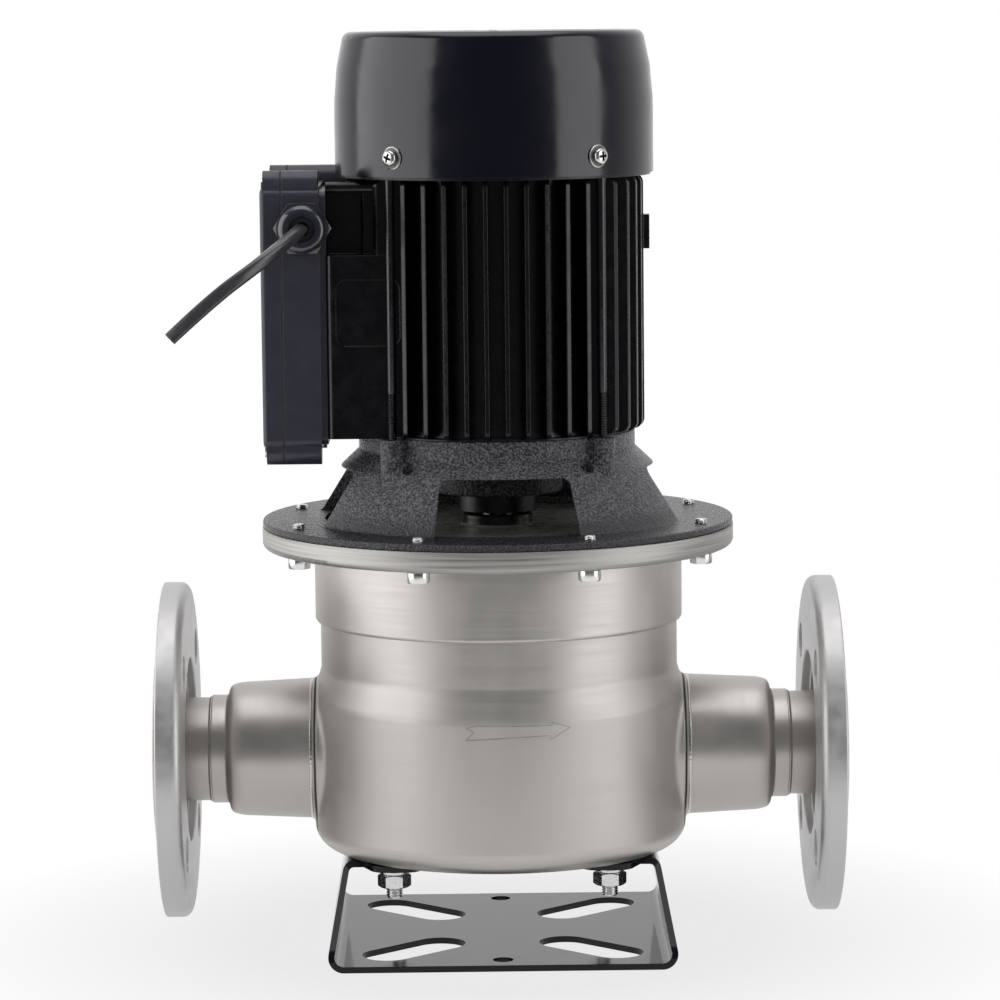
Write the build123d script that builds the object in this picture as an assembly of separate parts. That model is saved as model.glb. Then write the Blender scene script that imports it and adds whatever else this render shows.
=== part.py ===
from build123d import *
import math
import os

os.makedirs("parts", exist_ok=True)

# Inline circulation pump on a bent foot bracket. The pump axis is Z, the pipe line runs
# along X with the outlet at +X, and Z = 0 is the underside of the foot plate.
# All sizes are millimetres.

# Foot bracket
FOOT_SHEET = 3.0
FOOT_HALF_WIDTH = 84.8
FOOT_HALF_LENGTH = 81.0
FOOT_TOP_HALF_WIDTH = 75.0
FOOT_WALL_TOP_HALF_LENGTH = 45.0
FOOT_TAPER_START = 8.0
FOOT_LOW_BEND = 6.0
FOOT_HIGH_BEND = 4.0
TAB_HALF_LENGTH = 62.0
TAB_INNER_X = 38.0
TAB_CORNER = 9.0
PLATE_HOLE = 10.0
PLATE_HOLE_Y = 69.0
SLOT_WIDTH = 25.0
SLOT_TRAVEL = 34.0
SLOT_ANGLE = 43.0
SLOT_X = 43.0
SLOT_Y = 44.0

# Foot studs, welded under the casing
STUD_THREAD = 8.0
STUD_LENGTH = 17.0
STUD_PLACE = 52.0
STUD_HOLE = 9.0
NUT_FLATS = 14.0
NUT_HEIGHT = 6.5
LOCK_WASHER_OD = 13.5
LOCK_WASHER = 2.2
LOCK_WASHER_GAP = 1.2

# Pressed casing
CASING_SHEET = 2.0
CASING_BOTTOM = 47.5
BODY_RADIUS = 91.5
BODY_BOTTOM_CORNER = 11.0
BODY_TOP = 122.0
LOWER_BAND_RADIUS = 87.5
LOWER_BAND_BOTTOM = 136.0
LOWER_BAND_TOP = 159.5
UPPER_BAND_RADIUS = 90.0
BAND_LIP = 1.6
SHOULDER_BEND = 9.0

# Casing flange, seal cover and lid screws
FLANGE_TOP = 206.0
FLANGE_RING = 10.2
FLANGE_RADIUS = 115.3
FLANGE_LOWER_CORNER = 3.0
COVER_SHEET = 2.0
COVER_RADIUS = 99.0
COVER_PLAY = 0.2
ORING_RADIUS = 94.6
ORING_SECTION = 3.0
LID_SCREW_CIRCLE = 209.5
LID_SCREW_TURN = 1.2
LID_SCREW_COUNT = 8
LID_SCREW = 6.0
LID_SCREW_HEAD = 10.8
LID_SCREW_HEAD_HEIGHT = 5.9
LID_SCREW_HOLE = 6.6
LID_SCREW_PROUD = 2.0
LID_SCREW_SOCKET = 5.0

# Pipe line, ports and loose flange rings
AXIS_HEIGHT = 95.0
FACE_TO_FACE = 336.0
PIPE_OD = 50.8
PIPE_WALL = 1.5
PORT_COLLAR_X = 92.3
PORT_COLLAR_BLEND = 4.0
REDUCER_ROOT_RADIUS = 34.5
REDUCER_END_RADIUS = 32.8
REDUCER_END_X = 132.5
REDUCER_SHOULDER_X = 127.0
REDUCER_CORNER = 5.5
REDUCER_LIP_X = 141.5
REDUCER_LIP_WALL = 1.2
REDUCER_WALL = 2.0
COLLAR_RADIUS = 51.0
COLLAR_THICKNESS = 3.0
COLLAR_HUB_RADIUS = 45.4
COLLAR_HUB_LENGTH = 9.0
COLLAR_HUB_WALL = 3.0
RING_OD = 165.0
RING_THICKNESS = 12.4
RING_PLAY = 0.08
RING_GAP = 0.3
RING_EDGE = 4.5
RING_SMALL_EDGE = 0.8
RING_BOLT_CIRCLE = 125.0
RING_BOLT_HOLE = 18.0
RING_BOLTS = 4

# Suction bend and wear ring
BEND_RADIUS = 28.0
BEND_WALL = 1.5
BEND_TURN = 36.0
BEND_FLARE_X = 68.0
BEND_TOP = 138.0
WEAR_RING_RADIUS = 33.5
WEAR_RING_HEIGHT = 9.0
WEAR_PLAY = 0.3

# Impeller and pump shaft
IMPELLER_RADIUS = 70.0
EYE_RADIUS = 26.0
EYE_WALL = 2.0
EYE_BOTTOM = 139.5
FRONT_SHROUD_BOTTOM = 150.0
SHROUD = 2.0
VANE_HEIGHT = 10.0
VANE_COUNT = 6
VANE_THICKNESS = 2.2
VANE_SWEEP = 62.0
HUB_RADIUS = 14.0
HUB_LENGTH = 22.0
PUMP_SHAFT = 16.0
SHAFT_THREAD = 12.0
IMPELLER_NUT_FLATS = 19.0
IMPELLER_NUT_HEIGHT = 8.0
KEY_WIDTH = 5.0
KEY_DEPTH = 2.5
KEY_LENGTH = 16.0

# Mechanical seal
SEAT_RADIUS = 15.0
SEAT_HEIGHT = 7.0
SEAT_BORE = 18.6
SEAL_CUP_TOP = 211.5
SEAL_HEAD_RADIUS = 14.0
SEAL_HEAD_HEIGHT = 7.0
SEAL_FACE_GAP = 0.1
SPRING_WIRE = 2.0
SPRING_MEAN_RADIUS = 11.5
SPRING_TURNS = 4.5

# Coupling
COUPLING_RADIUS = 19.5
COUPLING_BOTTOM = 213.0
COUPLING_TOP = 235.0
COUPLING_SLIT = 1.6
COUPLING_SCREW = 5.0
COUPLING_SCREW_HEAD = 8.5
COUPLING_SCREW_X = 13.5
COUPLING_SCREW_DEPTH = 5.0
SHAFT_END_GAP = 1.0

# Lantern casting
LANTERN_PLATE = 3.5
LANTERN_RADIUS = 115.0
LANTERN_FOOT_RADIUS = 92.5
LANTERN_SHOULDER_RADIUS = 76.0
LANTERN_SHOULDER = 236.0
LANTERN_RING_RADIUS = 67.5
LANTERN_RING_BOTTOM = 244.0
LANTERN_TOP = 252.5
LANTERN_WALL = 8.0
LANTERN_WEB = 9.0
LANTERN_HUB_RADIUS = 32.0
LANTERN_HUB_BOTTOM = 222.0
LANTERN_FOOT_FILLET = 3.0
SPIGOT_HEIGHT = 4.0
SPIGOT_WALL = 6.0
SPIGOT_PLAY = 0.1
WINDOW_TOP = 235.5
WINDOW_TOP_HALF = 30.5
WINDOW_BOTTOM_HALF = 34.5
WINDOW_CORNER = 5.0
WINDOW_TURN = 2.6
ROD_BOSS_RADIUS = 5.9
ROD_BOSS_DEPTH = 24.0
TOOL_POCKET_RADIUS = 4.0
TOOL_POCKET_TURN = 9.2
TOOL_POCKET_BOTTOM = 236.5

# Motor housing with parallel cooling fins
STATOR_RADIUS = 60.0
HOUSING_WALL = 3.5
HOUSING_TOP = 376.4
FIN_RADIUS = 72.3
FIN_BOTTOM = 253.4
FIN_THICKNESS = 2.0
FIN_PITCH = 9.75
FINS_PER_SIDE = 10
FIN_CORNER = 4.0
FIN_TOP_CORNER = 4.0
RIM_RADIUS = 66.5
PAD_X = 81.0
PAD_HALF_WIDTH = 45.0
PAD_TOP = 340.4
PAD_NECK_HALF_WIDTH = 30.0
PAD_NECK_TOP = 371.0
PAD_PANEL_TOP = 328.6
PAD_PANEL_BOTTOM = 297.0
PAD_PANEL_OUTER_X = 76.5
PAD_PANEL_INNER_X = 46.0
PAD_PANEL_LINE = 1.0
WIRE_HOLE = 16.0
WIRE_HOLE_HEIGHT = 322.0
SIDE_LUG_TOP = 356.5
SIDE_LUG_BOTTOM = 340.0
SIDE_LUG_X = 75.1
SIDE_LUG_WIDTH = 9.0

# Stator, rotor and motor shaft
STATOR_BORE = 35.0
STATOR_BOTTOM = 285.0
STATOR_STACK = 60.0
WINDING_HEIGHT = 17.0
WINDING_INNER = 39.0
WINDING_OUTER = 57.5
AIR_GAP = 0.4
END_RING = 10.0
END_RING_WIDTH = 14.0
ROTOR_SHAFT = 25.0
FAN_SHAFT = 16.0
COUPLING_SHAFT = 17.0
MOTOR_SHAFT_TOP = 413.0

# Bearings, both of one size
BEARING_BORE = 20.0
BEARING_OD = 47.0
BEARING_WIDTH = 14.0
BALL = 7.9
BALLS = 8
RACE_SHOULDER = 2.9
BALL_PLAY = 0.05
LOWER_BEARING_BOTTOM = 238.0
UPPER_BEARING_BOTTOM = 371.0
WAVE_SPRING_HEIGHT = 1.4

# Upper end shield, tie rods and fan cover screws
SHIELD_DISC = 6.0
SHIELD_HUB_RADIUS = 30.0
SHIELD_LIP = 1.4
SHIELD_SHAFT_HOLE = 24.0
ROD_CIRCLE = 142.0
ROD = 4.2
ROD_HOLE = 4.8
ROD_HEAD_FLATS = 8.0
ROD_HEAD = 3.5
ROD_ENGAGEMENT = 16.0
COVER_POST_ANGLE = 38.7
COVER_POST_WIDTH = 6.0
COVER_POST_DEPTH = 7.0
COVER_POST_TOP = 392.0
COVER_SCREW_HEIGHT = 387.0
COVER_SCREW = 4.0
COVER_SCREW_HEAD = 6.8
COVER_SCREW_HEAD_HEIGHT = 2.6
COVER_SCREW_LENGTH = 8.0
COVER_WASHER = 10.8
COVER_WASHER_SHEET = 0.8

# Fan cover and fan
FAN_COVER_SHEET = 1.2
FAN_COVER_RADIUS = 77.3
FAN_COVER_BOTTOM = 377.6
FAN_COVER_TOP = 446.0
FAN_COVER_WALL_TOP = 412.0
FAN_COVER_WAIST_RADIUS = 75.9
FAN_COVER_WAIST = 429.0
FAN_COVER_CROWN_RADIUS = 72.5
FAN_COVER_CROWN_CORNER = 4.5
FAN_COVER_PLAY = 0.3
VENT_SLOTS = 24
VENT_SLOT_WIDTH = 4.0
VENT_INNER = 34.0
VENT_OUTER = 64.0
FAN_RADIUS = 66.0
FAN_BOTTOM = 393.0
FAN_DISC = 2.5
FAN_BLADES = 8
FAN_BLADE_HEIGHT = 22.0
FAN_BLADE_THICKNESS = 2.0
FAN_BLADE_INNER = 20.0
FAN_HUB_RADIUS = 14.0
FAN_HUB_HEIGHT = 16.0
FAN_CLIP = 1.2
FAN_CLIP_RADIUS = 10.5
CLIP_GROOVE = 0.6

# Terminal box on the left side of the motor
BOX_WALL = 2.5
BOX_HALF_WIDTH = 45.0
BOX_BOTTOM = 247.6
BOX_TOP = 373.0
BOX_SPLIT_X = 102.6
BOX_OUTER_X = 112.2
BOX_GASKET = 0.8
BOX_CORNER = 5.0
BOX_STEP_X = 84.0
BOX_STEP = 2.0
BOX_BOSS_RADIUS = 7.0
BOX_BOSS_Y = 37.0
BOX_BOSS_INNER_X = 84.4
BOX_BOSS_RISE = 0.8
BOX_STAY = 5.2
BOX_STAY_Y = 37.5
BOX_STAY_HEIGHT = 372.5
BOX_REAR_BOSS_X = 72.5
BOX_SCREW = 4.0
BOX_SCREW_HEAD = 7.0
BOX_SCREW_SEAT = 3.0
BOX_SCREW_LENGTH = 18.0
BLOCK_WIDTH = 34.0
BLOCK_HEIGHT = 16.0
BLOCK_DEPTH = 11.0
BLOCK_HEIGHT_PLACE = 300.0
BLOCK_Y = -8.0
CAPACITOR_RADIUS = 11.5
CAPACITOR_LENGTH = 70.0
CAPACITOR_BOTTOM = 262.0
CAPACITOR_Y = 24.0

# Cable gland and the short cut lead
GLAND_X = 91.7
GLAND_HEIGHT = 353.8
GLAND_FLATS = 24.0
GLAND_HEX_DEPTH = 7.0
GLAND_THREAD = 16.0
GLAND_THREAD_DEPTH = 5.0
GLAND_BORE = 9.0
GLAND_NUT_RADIUS = 11.4
GLAND_NUT_DEPTH = 9.5
GLAND_NUT_LIP = 3.5
GLAND_MOUTH = 14.6
GLAND_SEAL = 13.4
GLAND_SEAL_DEPTH = 8.0
CABLE = 7.0
CABLE_GRIP = 14.0
CABLE_STEPS = [
    (0.0, -18.5, 0.0),
    (-7.1, -18.0, -5.3),
    (-12.8, -12.5, -9.4),
    (-20.4, -6.0, -15.0),
    (-19.3, -3.0, -18.3),
]

# Places that follow from the sizes above
body_inner = BODY_RADIUS - CASING_SHEET
lower_band_inner = LOWER_BAND_RADIUS - CASING_SHEET
upper_band_inner = UPPER_BAND_RADIUS - CASING_SHEET
cover_bottom = FLANGE_TOP - COVER_SHEET
flange_bottom = FLANGE_TOP - FLANGE_RING
plate_top = FLANGE_TOP + LANTERN_PLATE
tab_bottom = CASING_BOTTOM - FOOT_SHEET
pipe_radius = PIPE_OD / 2
pipe_bore = pipe_radius - PIPE_WALL
port_face = FACE_TO_FACE / 2
collar_back = port_face - COLLAR_THICKNESS
ring_bore = COLLAR_HUB_RADIUS + RING_PLAY
ring_front = collar_back - RING_GAP
ring_back = ring_front - RING_THICKNESS
eye_outer = EYE_RADIUS + EYE_WALL
vane_bottom = FRONT_SHROUD_BOTTOM + SHROUD
vane_top = vane_bottom + VANE_HEIGHT
back_shroud_top = vane_top + SHROUD
hub_bottom = FRONT_SHROUD_BOTTOM
hub_top = hub_bottom + HUB_LENGTH
pump_shaft_radius = PUMP_SHAFT / 2
seat_bottom = SEAL_CUP_TOP - COVER_SHEET - SEAT_HEIGHT
seal_head_top = seat_bottom - SEAL_FACE_GAP
seal_head_bottom = seal_head_top - SEAL_HEAD_HEIGHT
coupling_middle = (COUPLING_BOTTOM + COUPLING_TOP) / 2
pump_shaft_top = coupling_middle - SHAFT_END_GAP / 2
motor_shaft_bottom = coupling_middle + SHAFT_END_GAP / 2
housing_root = STATOR_RADIUS + HOUSING_WALL
spigot_radius = STATOR_RADIUS - SPIGOT_PLAY
stator_top = STATOR_BOTTOM + STATOR_STACK
rotor_radius = STATOR_BORE - AIR_GAP
bearing_seat = BEARING_OD / 2
bearing_bore = BEARING_BORE / 2
ball_circle = (bearing_seat + bearing_bore) / 2
shield_bottom = HOUSING_TOP
shield_top = shield_bottom + SHIELD_DISC
upper_bearing_top = UPPER_BEARING_BOTTOM + BEARING_WIDTH
shield_bore_top = upper_bearing_top + WAVE_SPRING_HEIGHT
shield_hub_top = shield_bore_top + SHIELD_LIP
cover_inner = FAN_COVER_RADIUS - FAN_COVER_SHEET
shield_radius = cover_inner - FAN_COVER_PLAY
fan_hub_top = FAN_BOTTOM + FAN_HUB_HEIGHT
box_front = -BOX_HALF_WIDTH


def save(name, *solids):
    shape = solids[0] if len(solids) == 1 else Compound(children=list(solids))
    export_step(shape, f"parts/{name}.step")


def outline(points):
    """A closed face from (across, up, corner radius) points."""
    places = [(across, up) for across, up, _ in points]
    radii = [corner for _, _, corner in points]
    return make_face(FilletPolyline(*places, radius=radii, close=True))


def turned(points):
    """A solid turned about the pump axis from (radius, height, corner radius) points."""
    return revolve(Plane.XZ * outline(points), Axis.Z)


def ring(inner, outer, bottom, top):
    return turned([(inner, bottom, 0), (outer, bottom, 0), (outer, top, 0), (inner, top, 0)])


def disc(radius, bottom, top):
    return Pos(0, 0, bottom) * Cylinder(radius, top - bottom, align=(Align.CENTER, Align.CENTER, Align.MIN))


def hexagon(flats, bottom, top):
    profile = RegularPolygon(radius=flats / 2, side_count=6, major_radius=False)
    return Pos(0, 0, bottom) * extrude(profile, amount=top - bottom)


def pipe_turned(points):
    """A solid turned about the pipe line from (distance from pump axis, radius, corner radius)."""
    profile = Pos(0, 0, AXIS_HEIGHT) * (Plane.XZ * outline(points))
    return revolve(profile, Axis((0, 0, AXIS_HEIGHT), (1, 0, 0)))


def around(count, start, part):
    """Equal copies of a part about the pump axis, the first turned by the start angle."""
    return [Rot(0, 0, start + turn * 360 / count) * part for turn in range(count)]


def inlet_side(part):
    return mirror(part, Plane.YZ)


# Foot bracket: one sheet bent into a plate, two leaning walls and two tabs under the casing
middle = FOOT_SHEET / 2
fold = FilletPolyline(
    (-TAB_INNER_X - 2 * TAB_CORNER, CASING_BOTTOM - middle),
    (-FOOT_TOP_HALF_WIDTH, CASING_BOTTOM - middle),
    (-FOOT_HALF_WIDTH + middle, middle),
    (FOOT_HALF_WIDTH - middle, middle),
    (FOOT_TOP_HALF_WIDTH, CASING_BOTTOM - middle),
    (TAB_INNER_X + 2 * TAB_CORNER, CASING_BOTTOM - middle),
    radius=[FOOT_HIGH_BEND, FOOT_LOW_BEND, FOOT_LOW_BEND, FOOT_HIGH_BEND],
)
strip = extrude(Plane.XZ * trace(fold, line_width=FOOT_SHEET), amount=FOOT_HALF_LENGTH, both=True)
side_view = outline(
    [
        (-FOOT_HALF_LENGTH, 0, 0),
        (FOOT_HALF_LENGTH, 0, 0),
        (FOOT_HALF_LENGTH, FOOT_TAPER_START, 10),
        (FOOT_WALL_TOP_HALF_LENGTH, CASING_BOTTOM, 0),
        (-FOOT_WALL_TOP_HALF_LENGTH, CASING_BOTTOM, 0),
        (-FOOT_HALF_LENGTH, FOOT_TAPER_START, 10),
    ]
)
strip &= extrude(Plane.YZ * side_view, amount=2 * FOOT_HALF_WIDTH, both=True)
tab_root = FOOT_TOP_HALF_WIDTH - FOOT_SHEET - FOOT_HIGH_BEND
tab_plan = outline(
    [
        (tab_root, -FOOT_WALL_TOP_HALF_LENGTH, 0),
        (tab_root, FOOT_WALL_TOP_HALF_LENGTH, 0),
        (STUD_PLACE + TAB_CORNER, TAB_HALF_LENGTH, TAB_CORNER),
        (TAB_INNER_X, TAB_HALF_LENGTH, TAB_CORNER),
        (TAB_INNER_X, -TAB_HALF_LENGTH, TAB_CORNER),
        (STUD_PLACE + TAB_CORNER, -TAB_HALF_LENGTH, TAB_CORNER),
    ]
)
tab = Pos(0, 0, tab_bottom) * extrude(tab_plan, amount=FOOT_SHEET)
foot_bracket = strip + tab + mirror(tab, Plane.YZ)
stud_places = [Pos(x, y, 0) for x in (-STUD_PLACE, STUD_PLACE) for y in (-STUD_PLACE, STUD_PLACE)]
for place in stud_places:
    foot_bracket -= place * disc(STUD_HOLE / 2, tab_bottom - 1, CASING_BOTTOM + 1)
for side in (-1, 1):
    foot_bracket -= Pos(0, side * PLATE_HOLE_Y, 0) * disc(PLATE_HOLE / 2, -1, FOOT_SHEET + 1)
slot_cut = extrude(SlotCenterToCenter(SLOT_TRAVEL, SLOT_WIDTH), amount=2 * FOOT_SHEET, both=True)
for across in (-1, 1):
    for along in (-1, 1):
        turn = SLOT_ANGLE * across * along
        foot_bracket -= Pos(across * SLOT_X, along * SLOT_Y, 0) * Rot(0, 0, turn) * slot_cut
save("foot_bracket", foot_bracket)

# Four studs welded under the casing, each with a spring lock washer and a nut
stud = disc(STUD_THREAD / 2, CASING_BOTTOM - STUD_LENGTH, CASING_BOTTOM)
washer_bottom = tab_bottom - LOCK_WASHER
washer = ring(STUD_THREAD / 2, LOCK_WASHER_OD / 2, washer_bottom, tab_bottom)
washer -= Pos(LOCK_WASHER_OD / 2, 0, washer_bottom + LOCK_WASHER / 2) * Box(
    LOCK_WASHER_OD, LOCK_WASHER_GAP, 2 * LOCK_WASHER
)
nut = hexagon(NUT_FLATS, washer_bottom - NUT_HEIGHT, washer_bottom)
nut &= turned(
    [
        (STUD_THREAD / 2, washer_bottom - NUT_HEIGHT, 0),
        (NUT_FLATS / 2, washer_bottom - NUT_HEIGHT, 0),
        (NUT_FLATS, washer_bottom - NUT_HEIGHT / 2, 0),
        (NUT_FLATS / 2, washer_bottom, 0),
        (STUD_THREAD / 2, washer_bottom, 0),
    ]
)
save("foot_studs", *[place * stud for place in stud_places])
save("foot_lock_washers", *[place * washer for place in stud_places])
save("foot_nuts", *[place * nut for place in stud_places])

# Casing: a deep-drawn cup that narrows into two plain bands, with a short collar pulled out
# of its wall for each port
casing_space = turned(
    [
        (0, CASING_BOTTOM + CASING_SHEET, 0),
        (body_inner, CASING_BOTTOM + CASING_SHEET, BODY_BOTTOM_CORNER - CASING_SHEET),
        (body_inner, BODY_TOP, SHOULDER_BEND),
        (lower_band_inner, LOWER_BAND_BOTTOM, SHOULDER_BEND + CASING_SHEET),
        (lower_band_inner, LOWER_BAND_TOP + CASING_SHEET, 0),
        (upper_band_inner, LOWER_BAND_TOP + CASING_SHEET, 0),
        (upper_band_inner, cover_bottom, 0),
        (0, cover_bottom, 0),
    ]
)
casing = turned(
    [
        (0, CASING_BOTTOM, 0),
        (BODY_RADIUS, CASING_BOTTOM, BODY_BOTTOM_CORNER),
        (BODY_RADIUS, BODY_TOP, SHOULDER_BEND + CASING_SHEET),
        (LOWER_BAND_RADIUS, LOWER_BAND_BOTTOM, SHOULDER_BEND),
        (LOWER_BAND_RADIUS, LOWER_BAND_TOP, 0),
        (UPPER_BAND_RADIUS, LOWER_BAND_TOP, BAND_LIP),
        (UPPER_BAND_RADIUS, cover_bottom, 0),
        (0, cover_bottom, 0),
    ]
)
port_collar = pipe_turned(
    [
        (BODY_RADIUS / 2, 0, 0),
        (PORT_COLLAR_X, 0, 0),
        (PORT_COLLAR_X, REDUCER_ROOT_RADIUS, 0),
        (BODY_RADIUS / 2, REDUCER_ROOT_RADIUS, 0),
    ]
)
casing += port_collar + inlet_side(port_collar)
straight = (GeomType.CIRCLE, GeomType.LINE)
saddle_edges = [edge for edge in casing.edges() if edge.geom_type not in straight]
casing = fillet(saddle_edges, PORT_COLLAR_BLEND)
port_opening = pipe_turned(
    [
        (0, 0, 0),
        (PORT_COLLAR_X + 1, 0, 0),
        (PORT_COLLAR_X + 1, REDUCER_ROOT_RADIUS - REDUCER_WALL, 0),
        (0, REDUCER_ROOT_RADIUS - REDUCER_WALL, 0),
    ]
)
casing -= casing_space + port_opening + inlet_side(port_opening)
save("casing", casing)

# Casing flange: a turned ring welded round the mouth, recessed for the seal cover
first_screw = 180 / LID_SCREW_COUNT + LID_SCREW_TURN
screw_places = around(LID_SCREW_COUNT, first_screw, Pos(LID_SCREW_CIRCLE / 2, 0, 0))
casing_flange = turned(
    [
        (UPPER_BAND_RADIUS, flange_bottom, 0),
        (FLANGE_RADIUS, flange_bottom, FLANGE_LOWER_CORNER),
        (FLANGE_RADIUS, FLANGE_TOP, 0.5),
        (COVER_RADIUS + COVER_PLAY, FLANGE_TOP, 0),
        (COVER_RADIUS + COVER_PLAY, cover_bottom, 0),
        (UPPER_BAND_RADIUS, cover_bottom, 0),
    ]
)
casing_flange -= ring(
    ORING_RADIUS - ORING_SECTION / 2,
    ORING_RADIUS + ORING_SECTION / 2,
    cover_bottom - ORING_SECTION,
    cover_bottom,
)
for place in screw_places:
    casing_flange -= place * disc(LID_SCREW_HOLE / 2, flange_bottom - 1, FLANGE_TOP + 1)
save("casing_flange", casing_flange)

oring_place = Pos(ORING_RADIUS, 0, cover_bottom - ORING_SECTION / 2)
save("cover_oring", revolve(oring_place * (Plane.XZ * Circle(ORING_SECTION / 2)), Axis.Z))

# Seal cover: a stainless disc with a raised cup for the seal seat
seal_cover = turned(
    [
        (SEAT_BORE / 2, SEAL_CUP_TOP - COVER_SHEET, 0),
        (SEAT_RADIUS, SEAL_CUP_TOP - COVER_SHEET, 0),
        (SEAT_RADIUS, cover_bottom, 0),
        (COVER_RADIUS, cover_bottom, 0),
        (COVER_RADIUS, FLANGE_TOP, 0),
        (SEAT_RADIUS + COVER_SHEET, FLANGE_TOP, 1.5),
        (SEAT_RADIUS + COVER_SHEET, SEAL_CUP_TOP, 1.5),
        (SEAT_BORE / 2, SEAL_CUP_TOP, 0),
    ]
)
save("seal_cover", seal_cover)

# Eight cap screws go up through the flange into the tapped lantern plate
head_bottom = flange_bottom - LID_SCREW_HEAD_HEIGHT
lid_screw = disc(LID_SCREW_HEAD / 2, head_bottom, flange_bottom)
lid_screw -= hexagon(LID_SCREW_SOCKET, head_bottom, flange_bottom - LID_SCREW_HEAD_HEIGHT / 2)
lid_screw += disc(LID_SCREW / 2, flange_bottom, plate_top + LID_SCREW_PROUD)
save("lid_screws", *[place * lid_screw for place in screw_places])

# Ports: reducer, neck tube, welded stub collar and loose flange ring on each side
reducer = pipe_turned(
    [
        (PORT_COLLAR_X, REDUCER_ROOT_RADIUS, 0.4),
        (REDUCER_SHOULDER_X, REDUCER_END_RADIUS, 25),
        (REDUCER_END_X, REDUCER_END_RADIUS - 1.5, REDUCER_CORNER - 1.8),
        (REDUCER_END_X + REDUCER_WALL / 2, pipe_radius + REDUCER_LIP_WALL, 1.4),
        (REDUCER_LIP_X, pipe_radius + REDUCER_LIP_WALL, 0.5),
        (REDUCER_LIP_X, pipe_radius, 0),
        (REDUCER_END_X - REDUCER_WALL / 2, pipe_radius, 0.6),
        (REDUCER_END_X - REDUCER_WALL, REDUCER_END_RADIUS - REDUCER_WALL - 1.5, 1.5),
        (REDUCER_SHOULDER_X - REDUCER_WALL / 2, REDUCER_END_RADIUS - REDUCER_WALL, 20),
        (PORT_COLLAR_X, REDUCER_ROOT_RADIUS - REDUCER_WALL, 0),
    ]
)
neck = pipe_turned(
    [
        (REDUCER_END_X, pipe_bore, 0),
        (port_face, pipe_bore, 0),
        (port_face, pipe_radius, 0),
        (REDUCER_END_X, pipe_radius, 0),
    ]
)
collar = pipe_turned(
    [
        (collar_back, pipe_radius, 0),
        (port_face, pipe_radius, 0),
        (port_face, COLLAR_RADIUS, 0.6),
        (collar_back, COLLAR_RADIUS, 0.6),
        (collar_back, COLLAR_HUB_RADIUS, 0),
        (collar_back - COLLAR_HUB_LENGTH, COLLAR_HUB_RADIUS, 0.6),
        (collar_back - COLLAR_HUB_LENGTH, COLLAR_HUB_RADIUS - COLLAR_HUB_WALL, 0.6),
        (collar_back, COLLAR_HUB_RADIUS - COLLAR_HUB_WALL, 2.0),
    ]
)
flange_ring = pipe_turned(
    [
        (ring_back, ring_bore, 0.6),
        (ring_front, ring_bore, 0),
        (ring_front, RING_OD / 2, RING_SMALL_EDGE),
        (ring_back, RING_OD / 2, RING_EDGE),
    ]
)
ring_hole = Cylinder(RING_BOLT_HOLE / 2, 4 * RING_THICKNESS)
for turn in range(RING_BOLTS):
    angle = (turn + 0.5) * 360 / RING_BOLTS
    ring_place = Pos(ring_back, 0, AXIS_HEIGHT) * Rot(angle, 0, 0) * Pos(0, RING_BOLT_CIRCLE / 2, 0)
    flange_ring -= ring_place * Rot(0, 90, 0) * ring_hole
for name, part in (("reducer", reducer), ("neck", neck), ("collar", collar), ("flange", flange_ring)):
    save(f"outlet_{name}", part)
    save(f"inlet_{name}", inlet_side(part))

# Suction bend: carries the inlet flow from the casing wall up to the impeller eye
bend_path = FilletPolyline(
    (-BEND_FLARE_X, 0, AXIS_HEIGHT), (0, 0, AXIS_HEIGHT), (0, 0, BEND_TOP), radius=BEND_TURN
)
bend_start = Plane(origin=(-BEND_FLARE_X, 0, AXIS_HEIGHT), x_dir=(0, 1, 0), z_dir=(1, 0, 0))


def bend_solid(radius, root_radius, reach):
    """The bend's outer or inner form: a cone at the casing wall, then a bent tube."""
    cone = inlet_side(
        pipe_turned(
            [(BEND_FLARE_X, 0, 0), (reach, 0, 0), (reach, root_radius, 0), (BEND_FLARE_X, radius, 0)]
        )
    )
    return cone + sweep(bend_start * Circle(radius), path=bend_path)


bend_collar = ring(BEND_RADIUS - BEND_WALL, WEAR_RING_RADIUS, BEND_TOP - 2 * BEND_WALL, BEND_TOP)
suction_bend = bend_solid(BEND_RADIUS, REDUCER_ROOT_RADIUS, BODY_RADIUS) + bend_collar
suction_bend -= bend_solid(BEND_RADIUS - BEND_WALL, REDUCER_ROOT_RADIUS - BEND_WALL, BODY_RADIUS + 1)
suction_bend &= casing_space
save("suction_bend", suction_bend)

# Wear ring: seated on the bend, the impeller neck runs inside it
wear_ring = ring(eye_outer + WEAR_PLAY, WEAR_RING_RADIUS, BEND_TOP, BEND_TOP + WEAR_RING_HEIGHT)
save("wear_ring", wear_ring)

# Impeller: two shrouds with backward-curved vanes, and a keyed hub
impeller = turned(
    [
        (EYE_RADIUS, EYE_BOTTOM, 0),
        (eye_outer, EYE_BOTTOM, 0),
        (eye_outer, FRONT_SHROUD_BOTTOM, 1.5),
        (IMPELLER_RADIUS, FRONT_SHROUD_BOTTOM, 0),
        (IMPELLER_RADIUS, vane_bottom, 0),
        (EYE_RADIUS, vane_bottom, 2.5),
    ]
)
impeller += disc(IMPELLER_RADIUS, vane_top, back_shroud_top)
impeller += disc(HUB_RADIUS, hub_bottom, hub_top)
sweep_angle = math.radians(VANE_SWEEP)
vane_line = ThreePointArc(
    (EYE_RADIUS, 0),
    (
        (EYE_RADIUS + IMPELLER_RADIUS) / 2 * math.cos(sweep_angle * 0.36),
        -(EYE_RADIUS + IMPELLER_RADIUS) / 2 * math.sin(sweep_angle * 0.36),
    ),
    (
        (IMPELLER_RADIUS - 1) * math.cos(sweep_angle),
        -(IMPELLER_RADIUS - 1) * math.sin(sweep_angle),
    ),
)
vane_section = trace(vane_line, line_width=VANE_THICKNESS)
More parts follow.
